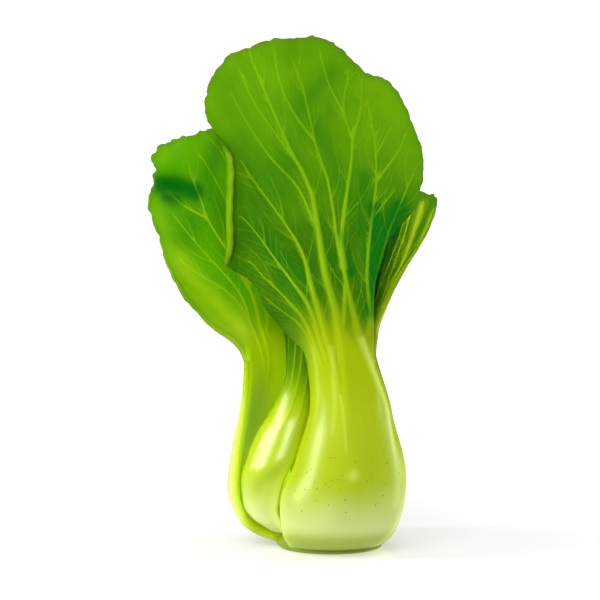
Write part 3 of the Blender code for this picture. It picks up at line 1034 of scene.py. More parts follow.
# %% Left leaf
LEFT = Leaf(
    node='leaf_left',
    facing=150,
    spine=[
        (1.6, 19.3, 0, 0, 19.3),
        (4.0, 27.4, 0, 0, 21),
        (9.0, 34.8, 0, 0, 23.5),
        (20, 39.2, 0, 0, 24),
        (35, 37.5, 0, 0, 22),
        (50, 33.2, 0, -5, 20),
        (65, 29.2, 2, -14, 19),
        (73, 28.4, 3, -21, 34),
        (82, 28.3, 4.6, -28, 60),
        (100, 31, 8, -36, 60),
        (125, 33, 13, -40, 90),
        (150, 34, 17, -40, 90),
    ],
    left=[(1.6, 13), (7, 20), (20, 23.5), (35, 22), (50, 18), (66, 14)],
    right=[(1.6, 11), (7, 18), (20, 22), (35, 19), (50, 15), (66, 10)],
    margin=[
        (-14.4, 69), (-15, 78), (-17.5, 94), (-22, 114), (-24, 133), (-17, 146), (-6, 149.4),
        (4.5, 149.4), (11.5, 148), (18.8, 147), (24.4, 145.8), (28.5, 144.6), (31.2, 142.3),
        (32.4, 139.8), (31.4, 137.7), (30.2, 135.8), (30.8, 133.4), (31.2, 130.8), (33.2, 127.2),
        (34.9, 122.7), (35.3, 118.5), (35.3, 115), (34.8, 111.1), (34.8, 105.9), (34.7, 99.6),
        (34.4, 93.8), (32.4, 89.1), (28, 84.8), (24.1, 80.5), (20, 77.2), (16.4, 74.6),
        (13.4, 72.2), (11.4, 70), (10.4, 68),
    ],
    flesh=[
        (1.6, 3.4), (9, 4.4), (20, 5.8), (50, 5.2), (70, 4.2), (85, 2.4), (105, 1.3), (125, 0.7),
    ],
    ribs=[
        (1.9, 0.5, [(0, 42), (-1, 55), (-2.2, 68.8), (0.2, 77.9), (0.6, 86.9), (1.4, 97.7),
            (-0.5, 115), (-3, 132), (-4, 146)]),
        (1.0, 0.35, [(1.2, 92), (4.5, 102.2), (11.3, 117.6), (12.5, 125.9), (15.9, 136)]),
        (0.7, 0.3, [(11.4, 117.8), (18.5, 122.3), (21.7, 125.6)]),
        (1.1, 0.35, [(0.5, 64), (4.2, 77.9), (5.8, 90.2), (10.8, 99.3), (17.3, 107.8),
            (25, 119.3)]),
        (1.0, 0.35, [(1.5, 66), (4.8, 81.1), (10.7, 90.7), (20.4, 98.2), (28.3, 105.1)]),
        (0.8, 0.3, [(0.4, 104), (1.4, 119.3), (5.4, 130.1), (11.6, 141)]),
        (0.7, 0.3, [(-2, 122), (-1.2, 132.1), (2.7, 142), (8, 148.1)]),
        (0.9, 0.3, [(-2, 76), (-6, 90), (-13, 104), (-19, 117)]),
        (0.8, 0.3, [(0, 94), (-7, 110), (-15, 124), (-21, 134)]),
        (0.7, 0.3, [(-1.5, 112), (-7, 128), (-13, 142)]),
    ],
    swells=[
        (27, 141, 7.5, -4.5), (19, 128.5, 7, 2.6), (31, 118, 8, -1.5), (24, 100, 8, 1.2),
        (8, 140, 8, -1.2),
    ],
    # Painted shadow under the bent-over top corner, and painted shade on the blade.
    painted_shade=[
        (1.0, 4.2, [(28.5, 130.5), (22, 130), (14, 127.5)]),
        (0.75, 3.0, [(27, 126), (20, 125.5)]),
        (0.5, 1.6, [(9, 124.4)]),
        (0.4, 6, [(3, 143), (9, 133), (5, 120), (3, 108)]),
        (0.3, 5, [(16, 118), (22, 110)]),
    ],
    # Painted light: lit patches on the blade and along the petiole's rim.
    painted_light=[
        (0.6, 7, [(33, 104), (30, 95), (23, 84), (15, 77)]),
        (0.25, 6, [(34, 120), (32, 110)]),
        (0.1, 3.2, [(30, 142), (22, 144)]),
        (0.9, 6, [(28, 102), (24, 94), (17, 86), (11, 79)]),
        (0.35, 3, [(17, 8), (20.5, 20), (18, 35), (14, 50)]),
    ],
    edge_flesh=2.4,
    columns=205,
    rows=205,
    ripple=0.7,
    teeth=0.32,
    painted_shade_inside=True,
    calm=(60.0, 45.0),
    seed=23,
)

# %% Front-left leaf
FRONT_LEFT = Leaf(
    node='leaf_front_left',
    facing=190,
    spine=[
        (6.5, 22.2, -1, 0, 13),
        (10.6, 28.2, -3, 0, 13.5),
        (15, 30.9, -4, 0, 13.5),
        (24, 31.7, -2.2, 6, 13.2),
        (32, 29.2, 2.6, 20, 12),
        (40, 25.4, 6.4, 34, 10.5),
        (50, 19.3, 8.3, 45, 8),
        (62, 14.6, 6.4, 50, 5.6),
        (75, 12.8, 5.8, 52, 9),
        (92, 10.2, 6.8, 56, 24),
        (126, 6.7, 9, 60, 40),
    ],
    left=[(6.5, 8), (12, 14), (24, 17), (36, 15), (50, 10), (62, 7)],
    right=[(6.5, 11.5), (12, 16.5), (24, 18.4), (32, 17), (40, 15), (50, 11.8), (62, 8)],
    margin=[
        (-8, 65), (-10, 76), (-12, 90), (-13, 104), (-10, 117), (-3, 124), (4, 125), (11, 121),
        (15, 110), (14.5, 96), (10, 80), (7.9, 66),
    ],
    flesh=[(6.5, 2.5), (12, 4.5), (24, 6), (50, 3.6), (62, 2.6), (75, 1.9), (95, 0.8)],
    ribs=[
        (0.9, 0.3, [(5, 30), (3.5, 46), (2.2, 60), (2, 74), (3, 96), (4, 115)]),
        (0.8, 0.3, [(-6, 36), (-4.5, 50), (-3.4, 60), (-4.5, 74), (-7, 96)]),
        (0.9, 0.3, [(-1, 32), (-0.6, 50), (-0.5, 60), (-1, 78), (-2, 100), (-2, 118)]),
        (0.7, 0.3, [(10, 36), (7, 50), (5, 60), (5.5, 72), (9, 90), (11, 106)]),
        (0.6, 0.3, [(-10, 40), (-7, 50), (-5.4, 60), (-7.5, 72), (-10, 88)]),
    ],
    # Painted highlights down the bulb of the petiole.
    painted_light=[
        (0.6, 1.5, [(-1.1, 55.3), (0, 49.4), (2.4, 43.1), (4.2, 37.1), (6, 31)]),
        (0.45, 1.3, [(5.9, 46.6), (9.1, 39.6), (10.8, 34.3)]),
        (0.45, 1.7, [(0.2, 43), (1.6, 37), (3.2, 31)]),
        (0.2, 4, [(0, 17), (6, 13)]),
    ],
    # A little painted shade low on the petiole.
    painted_shade=[
        (0.25, 3.2, [(12.5, 28), (10, 24)]),
    ],
    columns=110,
    rows=150,
    ripple=0.4,
    green_from=(40.0, 72.0),
    seed=31,
)

# %% Right leaf
RIGHT = Leaf(
    node='leaf_right',
    facing=8,
    spine=[
        (1.6, 19.3, 0, 0, 19.3),
        (4.0, 22, 0, 0, 20),
        (10, 25, 0, 0, 21),
        (20, 26.5, 0, 0, 21.5),
        (35, 25, 0, 0, 20),
        (50, 20.5, 0, 0, 16),
        (64, 16, 0, 0, 12),
        (76, 15.5, 0, 10, 18),
        (95, 20.5, 0, 18, 30),
        (110, 26.9, 0, 20, 50),
        (127, 32.8, 0, 20, 60),
    ],
    left=[(1.6, 14), (7, 19.5), (20, 21), (35, 18.5), (50, 14.5), (66, 9.5)],
    right=[(1.6, 14.5), (7, 19), (20, 20), (35, 17), (50, 13), (66, 9)],
    margin=[
        (-10, 70), (-11, 79), (-12.4, 88), (-14.5, 97), (-16.5, 105), (-18.5, 113), (-18.6, 119),
        (-16, 123.4), (-11, 126), (0, 126.5), (13, 126), (24, 121), (28, 110), (21, 97), (11, 84),
        (9, 72),
    ],
    flesh=[(1.6, 4), (9, 5), (20, 6), (50, 5), (66, 4), (80, 2.4), (100, 0.9)],
    ribs=[
        (1.5, 0.6, [(-1, 60), (-7.6, 79.6), (-4, 92), (-1.3, 102), (-0.6, 105.5), (0.8, 122.7)]),
        (1.4, 0.6, [(-3, 60), (-9.6, 80), (-9.2, 84.5), (-7.6, 101.7), (-6.2, 106.2),
            (-4.8, 115.3), (-4.8, 123.4)]),
        (1.6, 0.5, [(0, 44), (0, 66), (1, 90), (3, 110), (4, 123)]),
        (0.9, 0.35, [(1, 68), (6, 86), (12, 102), (18, 116)]),
        (0.8, 0.3, [(2, 92), (7, 108), (11, 121)]),
        (0.8, 0.3, [(3, 70), (9, 84), (17, 98), (24, 110)]),
        (0.7, 0.3, [(-5, 92), (-9, 104), (-14, 115)]),
    ],
    # Painted shade on the inner face, where the front leaf shades it.
    painted_shade=[
        (1.0, 4.5, [(7, 122), (6, 108), (4, 92), (2, 78)]),
        (0.9, 6, [(14, 118), (12, 100)]),
    ],
    # Painted light along the ribs and the margin.
    painted_light=[
        (0.8, 2.3, [(-17, 120), (-16, 108), (-12, 92), (-10, 80)]),
        (1.0, 1.8, [(-9.6, 80), (-9.2, 84.5), (-7.6, 101.7), (-5.8, 110), (-4.8, 122)]),
    ],
    columns=140,
    rows=160,
    ripple=0.5,
    teeth=0.3,
    painted_shade_inside=True,
    seed=41,
)

# %% Leaves grown by rule
SWELLING = np.array([0.35, 0.75, 0.75])  # how far height, reach and radius are to the bulge
NARROWING = np.array([0.38, 0.2, 0.2])  # and, past the bulge, how far they are to the neck
BLADE_SHARE = 0.45  # where a plain blade is widest, from the neck to the tip
FOOT_WRAP = 0.62  # how far the foot wraps, as a share of the bulge
PLAIN_TEETH = 0.15


def between(low, high, share):
    return low + (high - low) * share


def spoon_margin(neck_left, neck_right, neck_height, half_width, tip_height):
    """The margin of a plain rounded blade: an ellipse drawn down to the neck."""
    middle = neck_height + 0.56 * (tip_height - neck_height)
    points = [(-neck_left - 0.5, neck_height + 3)]
    for degrees in range(-110, 111, 22):
        angle = math.radians(degrees)
        depth = tip_height - middle if math.cos(angle) > 0 else 0.8 * (middle - neck_height)
        points.append((half_width * math.sin(angle), middle + depth * math.cos(angle)))
    points.append((neck_right + 0.5, neck_height + 3))
    return points


def plain_leaf(node, facing, foot, bulge, neck, tip, angles, half_width, flesh, blade_radius,
               pairs, rib, seed, columns=70, rows=100):
    """A leaf whose petiole bulges above its foot and narrows evenly to the neck.

    foot, bulge, neck and tip are each a height, a distance out from the axis and, except for
    the tip, the radius of the section; angles is how far the petiole wraps to each side.
    """
    foot, bulge, neck = (np.array(row, float) for row in (foot, bulge, neck))
    petiole = (foot, between(foot, bulge, SWELLING), bulge, between(bulge, neck, NARROWING), neck)
    blade_height = between(neck[0], tip[0], BLADE_SHARE)
    left, right = (
        [(foot[0], FOOT_WRAP * angle * foot[2]), (bulge[0], angle * bulge[2]),
         (neck[0], angle * neck[2])]
        for angle in map(math.radians, angles)
    )
    leaf = Leaf(
        node=node,
        facing=facing,
        spine=[
            *((height, out, 0, 0, radius) for height, out, radius in petiole),
            (blade_height, between(neck[1], tip[1], BLADE_SHARE), 0, 0, blade_radius),
            (*tip, 0, 0, 1.4 * blade_radius),
        ],
        left=left,
        right=right,
        margin=spoon_margin(left[-1][1], right[-1][1], neck[0], half_width, tip[0]),
        flesh=[(foot[0], 0.6 * flesh), (bulge[0], flesh), (neck[0], 0.7 * flesh),
               (blade_height, 1.1), (tip[0], 0.7)],
        columns=columns,
        rows=rows,
        ripple=0.02 * half_width,
        teeth=PLAIN_TEETH,
        seed=seed,
    )
    leaf.ribs = rule_ribs(leaf, pairs, rib)
    return leaf


INNER_SIZES = {"flesh": 4, "pairs": 3, "rib": 0.9}
INNER_RING = {
    "foot": (6, 12.6, 12.6), "bulge": (23, 14.6, 14), "neck": (58, 9.4, 9), "blade_radius": 11
}
HEART_RING = {
    "foot": (10.5, 6.2, 6.2), "bulge": (26, 8, 7.5), "neck": (50, 5.6, 5.2), "blade_radius": 5.4
}
BACK = plain_leaf(
    "leaf_back", 80, foot=(1.6, 19.3, 19.3), bulge=(20, 29, 20), neck=(64, 18, 12),
    tip=(128, 32.2), angles=(45, 56), half_width=22, flesh=6, blade_radius=28, pairs=4, rib=1.6,
    seed=53, columns=130, rows=130,
)
INNER = [
    plain_leaf("leaf_inner_left", 152, tip=(114, 9), angles=(50, 50), half_width=9.5, seed=61,
               **INNER_RING, **INNER_SIZES),
    plain_leaf("leaf_inner_right", -22, tip=(112, 11.5), angles=(48, 44), half_width=8, seed=67,
               **INNER_RING, **INNER_SIZES),
    plain_leaf("leaf_back_right", 80, foot=(4.5, 14, 14), bulge=(22, 17, 16),
               neck=(60, 11.6, 10), tip=(119, 13), angles=(27, 24), half_width=8,
               blade_radius=16, seed=71, **INNER_SIZES),
]
HEART = [
    plain_leaf(f"heart_leaf_{letter}", facing, tip=(height, 6), angles=(50, 50), half_width=5.2,
               flesh=2, columns=44, rows=70, pairs=2, rib=0.6, seed=80 + height, **HEART_RING)
    for letter, facing, height in (("a", 110, 98), ("b", 230, 92), ("c", 350, 86))
]
LEAVES = [FRONT, LEFT, FRONT_LEFT, RIGHT, BACK, *INNER, *HEART]
print("leaves:", [leaf.node for leaf in LEAVES])

# %% [markdown]
# ## Leaf skin
#
# One finish serves every leaf, with its own greens. Up the petiole it goes from near-white at
# the foot through yellow-green to the neck, with faint fibres along it. In the blade it is
# deep green with pale veins, drawn as crisp lines from the distance that the sheet stores,
# with rows of still finer ones that leave the thick ribs at a slant. Light and shade are also
# painted into the colour: strokes of painted shade where other leaves shut out the light,
# strokes of painted highlights and lit patches, inner faces painted lighter, and a blade
# painted lighter towards its top.
#
# The petiole is waxy and glossy, and light spreads a little in its flesh. Low down between
# the petioles, where light comes through the flesh from all round, a faint painted glow
# stands for it. The blade is softer, and the share that is green lets light through.

# %% Rows of fine veins
VEIN_ROW = 2.9  # mm between the fine veins of a row
VEIN_SLANT = 1.5  # how far up the rib a fine vein climbs for each mm it reaches out
VEIN_SINE = 1 / math.hypot(1.0, VEIN_SLANT)
VEIN_EDGES = (0.17, 0.03)  # mm from a fine vein's middle: where it ends, where it is full
VEIN_WANDER = 9.0  # mm
SHORTEST, LONGEST = 3.0, 14.0  # mm, of fine veins


def fine_veins(skin):
    """Rows of fine veins that leave the thick ribs at a slant, and streaks between them."""
    gap = skin.attribute("rib_gap")
    wander = skin.noise(skin.pattern, 60.0, 1.0) * VEIN_WANDER
    row = (skin.attribute("rib_climb") - gap * VEIN_SLANT + wander) / VEIN_ROW
    in_row = row.fraction()
    reach = skin.node(
        "ShaderNodeTexWhiteNoise", {"noise_dimensions": "1D"}, {"W": row - in_row}, "Value"
    )
    line = ((in_row - 0.5).size() * (VEIN_ROW * VEIN_SINE)).ease(*VEIN_EDGES)
    length = reach * (LONGEST - SHORTEST) + SHORTEST
    hatch = line * (gap / length).ease(1.0, 0.45) * gap.ease(0.3, 0.9)
    hatch = hatch * gap.ease(9.0, 4.0) * (reach * 0.6 + 0.4)
    streaks = skin.node(
        "ShaderNodeTexNoise", {"noise_dimensions": "1D"}, {"W": row * 2.6, "Detail": 2.0}
    )
    return hatch, streaks


# %% What a skin reads
# Heights up the pattern in metres, between which each change runs.
# heights of the painted shade at the foot
PAINTED_FOOT_SHADE = (0.0115, 0.0050)
FOOT_TURNS = (0.008, 0.028)
# heights of the painted glow low between the petioles
PAINTED_GLOW_ENDS = (0.056, 0.018)
NECK_TURNS = (0.045, 0.070)
WAX_DULLS = (0.050, 0.075)
GLOSS_ENDS = (0.040, 0.066)
RIBS_PALE = (0.065, 0.10)
VEINS_THIN = (0.10, 0.155)
# heights over which the blade is painted lighter towards its top, standing in for light
BLADE_LIT = (0.105, 0.165)
ROWS_FADE = (0.150, 0.105)

PETIOLE_ROUGHNESS = 0.33
BLADE_ROUGHNESS = 0.42
BLADE_GLOW = 0.55  # the share of a green blade's light that comes through it
MARGIN_GREEN = (0.13, 0.19, 0.01)
# the colour of that painted glow
PAINTED_CREVICE_GLOW = (0.37, 0.49, 0.0)
BLACK = (0.0, 0.0, 0.0)


class LeafSkin(Finish):
    """A finish with what a leaf's sheet stores ready as signals."""

    def __init__(self, name, greens):
        super().__init__(name)
        self.greens = greens
        self.pattern = self.attribute("pattern", "Vector")
        self.height = self.part(self.pattern, 1)
        self.blade, self.green, self.painted_shade, self.painted_light, self.edge, self.halo, self.inside = (
            self.attribute(name)
            for name in ("blade", "green", "painted_shade", "painted_light", "edge", "halo", "inner_face")
        )
        self.clouds = self.noise(self.pattern, 55.0, 3.0)
        self.fibres = self.noise(self.stretch(self.pattern, (900.0, 28.0, 1.0)), 1.0, 3.0)
        self.hatch, self.streaks = fine_veins(self)
        off_vein = self.attribute("vein_side").size() / self.attribute("vein_width")
        vein = off_vein.ease(1.2, 0.35) * self.attribute("vein")
        self.vein = vein * (1 - self.height.ease(*VEINS_THIN) * 0.45)

    def turn(self, colour, share, into):
        """Takes a colour towards another, named in the greens or given, by a share."""
        return self.mix(share, colour, self.greens[into] if isinstance(into, str) else into)


# %% The colours of blade and stalk
def blade_colour(skin):
    """Clouds of lit green, darker streaks, brushed patches, and the rows of fine veins."""
    height = skin.height
    # The lit green is painted light, laid on towards the top of the blade; its clouds are random
    # tone.
    lit = skin.clouds.ease(0.3, 0.7) * 0.4 + height.ease(*BLADE_LIT) * 0.6
    green = skin.turn(skin.greens["blade"], lit, "lit")
    green = skin.turn(green, (skin.streaks.ease(0.62, 0.40) * 0.45 * skin.blade).clamp(), "blade")
    # Painted shade.
    green = skin.turn(green, (skin.painted_shade * (1.0 + skin.clouds * 0.5)).clamp(), "painted_shade")
    # Painted light: lit patches on the blade.
    green = skin.turn(green, skin.painted_light, "vein")
    # The fine rows fade under the painted shade.
    rows = skin.hatch * skin.blade * skin.greens["rows"] * (1 - skin.painted_shade * 0.6)
    rows = rows * (height.ease(*ROWS_FADE) * 0.45 + 0.12)
    green = skin.turn(green, rows.clamp(), "vein")
    return skin.turn(green, skin.edge.ease(0.985, 1.0) * 0.6, MARGIN_GREEN)


def stalk_colour(skin):
    """Near-white at the foot, yellow-green above, with fibres and brushed highlights."""
    height = skin.height
    low = (height + (skin.clouds - 0.5) * 0.012).ease(*FOOT_TURNS)
    stalk = skin.turn(skin.greens["foot"], low, "petiole")
    stalk = skin.turn(stalk, (skin.fibres.ease(0.45, 0.75) * 0.05).clamp(), "vein")
    stalk = skin.turn(stalk, height.ease(*NECK_TURNS), "neck")
    # Painted highlights down the petiole.
    stalk = skin.turn(stalk, skin.painted_light, "painted_light")
    # The inner face is painted lighter, standing in for light that reaches into the hollow, and is
    # greener in its own tone.
    stalk = skin.turn(stalk, skin.inside * 0.75, "inner")
    # Painted shade at the foot, where the petiole curves under towards the floor.
    return skin.turn(stalk, height.ease(*PAINTED_FOOT_SHADE) * 0.9, "neck")


# %% A leaf's whole finish
def leaf_skin(name, greens):
    """One leaf's finish: the waxy petiole's shader, turned into the thin blade's by height."""
    skin = LeafSkin(name, greens)
    height = skin.height
    is_blade = (skin.green - skin.halo * 0.75).clamp()
    colour = skin.turn(stalk_colour(skin), is_blade, blade_colour(skin))
    rib = skin.turn(greens["neck"], height.ease(*RIBS_PALE), "vein")
    colour = skin.turn(colour, (skin.vein * 0.95 * skin.green).clamp(), rib)
    # Painted shade over the whole colour, ribs included.
    colour = skin.turn(colour, (skin.painted_shade * 0.9).clamp(), "painted_shade")
    # A painted glow low on inner faces and edges: emission, though no lamp, standing in for light
    # through the flesh.
    painted_glow = skin.inside.largest(skin.edge.ease(0.75, 0.97) * 0.6) * height.ease(*PAINTED_GLOW_ENDS)
    raised = (skin.hatch + skin.vein * 0.6 + skin.streaks * 0.3) * skin.blade + skin.fibres * 0.015
    bump = skin.bump(raised, 0.4, 0.5 * MM)
    material = skin.finish(
        Base_Color=colour,
        Roughness=PETIOLE_ROUGHNESS + skin.inside * 0.3 + height.ease(*WAX_DULLS) * 0.3,
        Specular_IOR_Level=0.31,
        Emission_Color=skin.mix(painted_glow.clamp(), BLACK, PAINTED_CREVICE_GLOW),
        Emission_Strength=0.5,
        Subsurface_Weight=0.3,
        Subsurface_Radius=(1.0, 1.0, 0.3),
        Subsurface_Scale=6 * MM,
        Normal=bump,
    )
    leafy = skin.node(
        "ShaderNodeBsdfPrincipled",
        {},
        {"Base Color": colour, "Roughness": BLADE_ROUGHNESS, "Specular IOR Level": 0.05,
         "Normal": bump},
    )
    through = skin.node("ShaderNodeBsdfTranslucent", {}, {"Color": greens["lit"]})
    thin = skin.mix_shaders((skin.green * BLADE_GLOW * (1 - skin.painted_shade)).clamp(), leafy, through)
    dull = (skin.green.ease(0.0, 0.45) + height.ease(*GLOSS_ENDS)).clamp()
    petiole = Signal(skin, skin.shader.outputs[0])
    whole = skin.mix_shaders(dull, petiole, thin)
    skin.feed(skin.tree.nodes["Material Output"].inputs["Surface"], whole)
    return material


# %% The leaves' greens
# The lit green is the blade painted as lit, and the colour of light through it; the inner green
# paints the inner face lighter; the darkest green is painted shade and the whitish one painted
# highlights.
OUTER_GREENS = {
    "blade": (0.035, 0.195, 0.0),
    "lit": (0.18, 0.395, 0.0),
    "vein": (0.34, 0.64, 0.005),
    "petiole": (0.285, 0.372, 0.0),
    "neck": (0.245, 0.335, 0.0),
    "foot": (0.43, 0.50, 0.17),
    "painted_shade": (0.0, 0.11, 0.0),
    "painted_light": (0.66, 0.78, 0.16),
    "inner": (0.40, 0.68, 0.0),
    "rows": 1.0,  # how strongly the fine rows show
}
# The left leaf's greens and the right leaf's veins are lighter, partly their own paler tone and
# partly painted light for leaves that the lamps reach less. The curled leaf's whitish green is a
# brighter painted highlight.
CHANGED_GREENS = {
    "outer": {},
    "curled": {
        "petiole": (0.33, 0.44, 0.0),
        "neck": (0.34, 0.50, 0.0),
        "painted_light": (0.80, 0.88, 0.42),
    },
    "left": {
        "blade": (0.085, 0.345, 0.0),
        "lit": (0.22, 0.50, 0.0),
        "vein": (0.58, 0.78, 0.01),
        "painted_shade": (0.0, 0.13, 0.0015),
        "inner": (0.54, 0.84, 0.0),
        "rows": 0.7,
    },
    "right": {
        "blade": (0.04, 0.20, 0.0),
        "lit": (0.20, 0.40, 0.0),
        "vein": (0.80, 0.98, 0.02),
        "painted_shade": (0.0, 0.12, 0.001),
        "rows": 0.4,
    },
    "heart": {
        "blade": (0.08, 0.28, 0.0),
        "lit": (0.16, 0.36, 0.0),
        "petiole": (0.33, 0.46, 0.01),
        "neck": (0.28, 0.46, 0.0),
        "foot": (0.50, 0.58, 0.20),
    },
}
SKINS = {
    kind: leaf_skin(kind + "_leaf_skin", {**OUTER_GREENS, **changes})
    for kind, changes in CHANGED_GREENS.items()
}
SKIN_OF = {"leaf_left": "left", "leaf_right": "right", "leaf_front_left": "curled"}
print("skins:", sorted(SKINS))

# %% Grow the leaves
triangles = 0
for leaf in LEAVES:
    heart = leaf.node.startswith("heart")
    piece = grown(
        make_sheet(leaf),
        raised,
        leaf.node + "_detail",
        {
            "Rib height": 1.0,
            "Pucker height": (0.4 if heart else 0.8) * MM,
            "Puckers per metre": 110.0,
            "Seed": leaf.seed,
            "Skin": SKINS["heart" if heart else SKIN_OF.get(leaf.node, "outer")],
        },
    )
    head.objects.link(piece)
    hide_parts(leaf.node)
    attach(piece, "root")
    count = sum(len(p.vertices) - 2 for p in piece.data.polygons)
    triangles += count
    print(leaf.node, count, "triangles")
print("all leaves:", triangles, "triangles")

# %% [markdown]
# ## Specks, and the cut stem
#
# Small things scattered over a surface are one more Geometry Nodes tree: points are spread
# over the faces by a stored weight, and a low dome is set on each. It makes the few brown
# specks low on the front petiole, and the ends of the fibres on the face where the head was
# cut. The stem itself is turned from its profile, with a fine ring for every leaf scar.

# %% The scatter tree
def scatter_tree():
    grow = Grower(
        "scatter_domes",
        {
            "Domes per square metre": ("Float", 1000.0),
            "Smallest": ("Float", 0.1 * MM),
            "Largest": ("Float", 0.3 * MM),
            "Flatness": ("Float", 0.3),
            "Seed": ("Int", 1),
        },
    )
    points = grow.node(
        "GeometryNodeDistributePointsOnFaces",
        {},
        {
            "Mesh": grow.given("Geometry"),
            "Density": grow.named("speckle") * grow.given("Domes per square metre"),
            "Seed": grow.given("Seed"),
        },
        "Points",
    )
    size = grow.node(
        "FunctionNodeRandomValue",
        {"data_type": "FLOAT"},
        {2: grow.given("Smallest"), 3: grow.given("Largest"), "Seed": grow.given("Seed")},
        1,
    )
    flat = size * grow.given("Flatness")
    domes = grow.node(
        "GeometryNodeInstanceOnPoints",
        {},
        {
            "Points": points,
            "Instance": grow.node(
                "GeometryNodeMeshIcoSphere", {}, {"Radius": 1.0, "Subdivisions": 1}
            ),
            "Rotation": points.beside("Rotation"),
            "Scale": grow.node("ShaderNodeCombineXYZ", {}, {0: size, 1: size, 2: flat}),
        },
    )
    return grow.done(domes)


scatter = scatter_tree()


def plain_finish(name, colour, roughness):
    """A matt finish whose colour wanders a little."""
    finish = Finish(name)
    clouds = finish.noise(finish.place(), 400.0, 3.0)
    darker = tuple(channel * 0.75 for channel in colour)
    return finish.finish(
        Base_Color=finish.mix(clouds, darker, colour),
        Roughness=roughness + clouds * 0.1,
        Specular_IOR_Level=0.3,
    )


def scattered(source_mesh, weight, name, skin, amount, sizes, flatness, seed):
    """Domes on a mesh, by a weight for each of its points."""
    store(source_mesh, "speckle", weight)
    settings = {
        "Domes per square metre": amount,
        "Smallest": sizes[0],
        "Largest": sizes[1],
        "Flatness": flatness,
        "Seed": seed,
        "Skin": skin,
    }
    piece = grown(source_mesh, scatter, name, settings)
    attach(piece, "root")
    print(name, len(piece.data.polygons), "faces")


def kept(mesh, name):
    """What a mesh stores for each of its points: a number, or a row of three."""
    layer = mesh.attributes[name]
    wide = 3 if layer.data_type == "FLOAT_VECTOR" else 1
    values = np.zeros(wide * len(mesh.vertices))
    layer.data.foreach_get("vector" if wide == 3 else "value", values)
    return values.reshape(-1, wide).squeeze()


# %% Specks on the front petiole
sheet = make_sheet(FRONT)
level = kept(sheet, "pattern")[:, 1] / MM
weight = ease(12, 22, level) * (1 - ease(30, 42, level))
weight *= (kept(sheet, "inner_face") < 0.1) * (1 - ease(0.6, 0.9, kept(sheet, "edge")))
scattered(
    sheet, weight, "leaf_front_specks",
    plain_finish("speck_brown", (0.16, 0.20, 0.01), 0.5),
    amount=60000.0, sizes=(0.08 * MM, 0.36 * MM), flatness=0.25, seed=5,
)

# %% The cut stem's shape
STEM_PROFILE = [
    (0.0, 13.0), (3.0, 11.8), (7.0, 7.5), (12.0, 4.2), (15.5, 2.8), (17.6, 1.9),
    (18.6, 1.0), (18.6, 0.4), (18.0, 0.0), (17.7, 0.03), (0.0, 0.03),
]
STEM_TURNS = 120
STEM_RINGS = 90
SHOULDER_AT = math.radians(206)  # where the stem swells to carry the front-left leaf
SHOULDER_WIDE = 24  # degrees


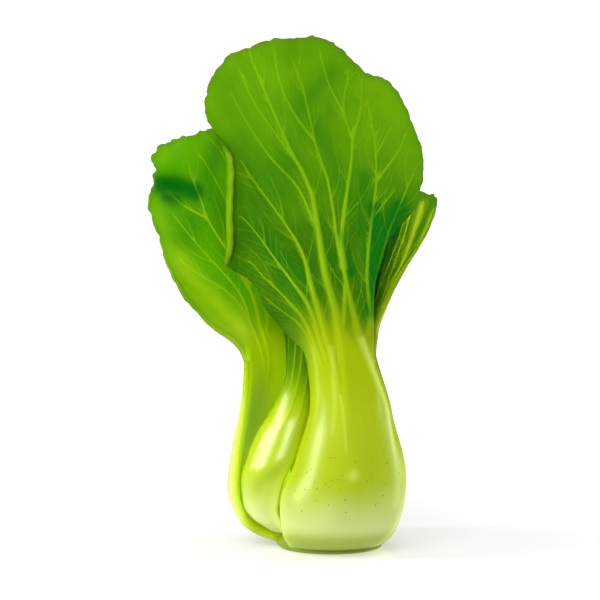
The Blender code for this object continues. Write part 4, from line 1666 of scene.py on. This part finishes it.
def make_stem():
    """The turned stem: a grid round the axis whose two ends close on it."""
    corners = np.array(STEM_PROFILE, float)
    steps = travel(corners)
    along = np.linspace(0, 1, STEM_RINGS) * steps[-1]
    radius, height = (np.interp(along, steps, column)[:, None] for column in corners.T)
    angle = np.linspace(0, 2 * math.pi, STEM_TURNS, endpoint=False)
    scar = 0.12 * np.sin(2.1 * height) * ease(0.6, 1.6, height)
    wobble = 0.10 * np.sin(5 * angle + 0.7) + 0.07 * np.sin(11 * angle)
    away = np.maximum(radius * (1 - 0.012 + 0.01 * wobble) - np.abs(scar), 0.0)
    shoulder = np.exp(-((np.degrees(angle - SHOULDER_AT) / SHOULDER_WIDE) ** 2))
    top = shoulder * ease(9, 15, radius) * ease(0.3, 1.4, height)
    away = away + 2.4 * top
    level = height + 4.2 * top * ease(19.5, 15.5, radius)
    points = np.stack([away * np.cos(angle), away * np.sin(angle), level], -1)
    grid = np.arange(STEM_RINGS * STEM_TURNS).reshape(STEM_RINGS, STEM_TURNS)
    around = np.roll(grid, -1, axis=1)
    faces = np.stack([grid[:-1], grid[1:], around[1:], around[:-1]], -1).reshape(-1, 4)
    stem = bmesh.new()
    corners = [stem.verts.new(tuple(place * MM)) for place in points.reshape(-1, 3)]
    for face in faces:
        stem.faces.new([corners[i] for i in face])
    bmesh.ops.remove_doubles(stem, verts=stem.verts, dist=0.01 * MM)
    bmesh.ops.recalc_face_normals(stem, faces=stem.faces)
    mesh = bpy.data.meshes.new("stem_base_detail")
    stem.to_mesh(mesh)
    stem.free()
    mesh.shade_smooth()
    return mesh


# %% The cut stem's finish
CUT_DEEP = (0.00005, 0.0003)  # metres up between which the cut face turns into the side
CUT_RIM = (0.016, 0.0195)  # metres out between which the cut browns


def stem_finish():
    """Pale green flesh, browned at the rim of the cut and ringed by its fibres."""
    finish = Finish("stem_flesh")
    place = finish.place()
    away = finish.length(finish.stretch(place, (1.0, 1.0, 0.0)))
    clouds = finish.noise(place, 240.0, 4.0)
    rings = finish.node(
        "ShaderNodeTexWave",
        {"wave_type": "RINGS", "rings_direction": "Z"},
        {"Vector": place, "Scale": 110.0, "Distortion": 9.0, "Detail": 3.0, "Detail Scale": 1.4},
    )
    browned = (away + (clouds - 0.5) * 0.004).ease(*CUT_RIM) * 0.7
    cut = finish.mix(rings * 0.35 + clouds * 0.5, (0.46, 0.50, 0.22), (0.62, 0.62, 0.38))
    cut = finish.mix(browned, cut, (0.20, 0.19, 0.04))
    side = finish.mix(clouds, (0.16, 0.24, 0.005), (0.30, 0.38, 0.03))
    return finish.finish(
        Base_Color=finish.mix(finish.part(place, 2).ease(*CUT_DEEP), cut, side),
        Roughness=0.45 + clouds * 0.15,
        Specular_IOR_Level=0.3,
        Normal=finish.bump(clouds + rings * 0.4, 0.5, 0.3 * MM),
    )


# %% The cut stem
mesh = make_stem()
mesh.materials.append(stem_finish())
stem = put("stem_base_detail", mesh)
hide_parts("stem_base")
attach(stem, "root")
spots = kept(mesh, "position") / MM
away = np.hypot(spots[:, 0], spots[:, 1])
ring = np.exp(-(((away - 15.0) / 2.2) ** 2)) + 0.6 * np.exp(-(((away - 8.0) / 1.6) ** 2)) + 0.1
scattered(
    mesh.copy(), ring * (spots[:, 2] < 0.05) * (away < 17.6), "stem_fibre_ends",
    plain_finish("fibre_tan", (0.42, 0.40, 0.18), 0.6),
    amount=260000.0, sizes=(0.10 * MM, 0.22 * MM), flatness=0.1, seed=9,
)
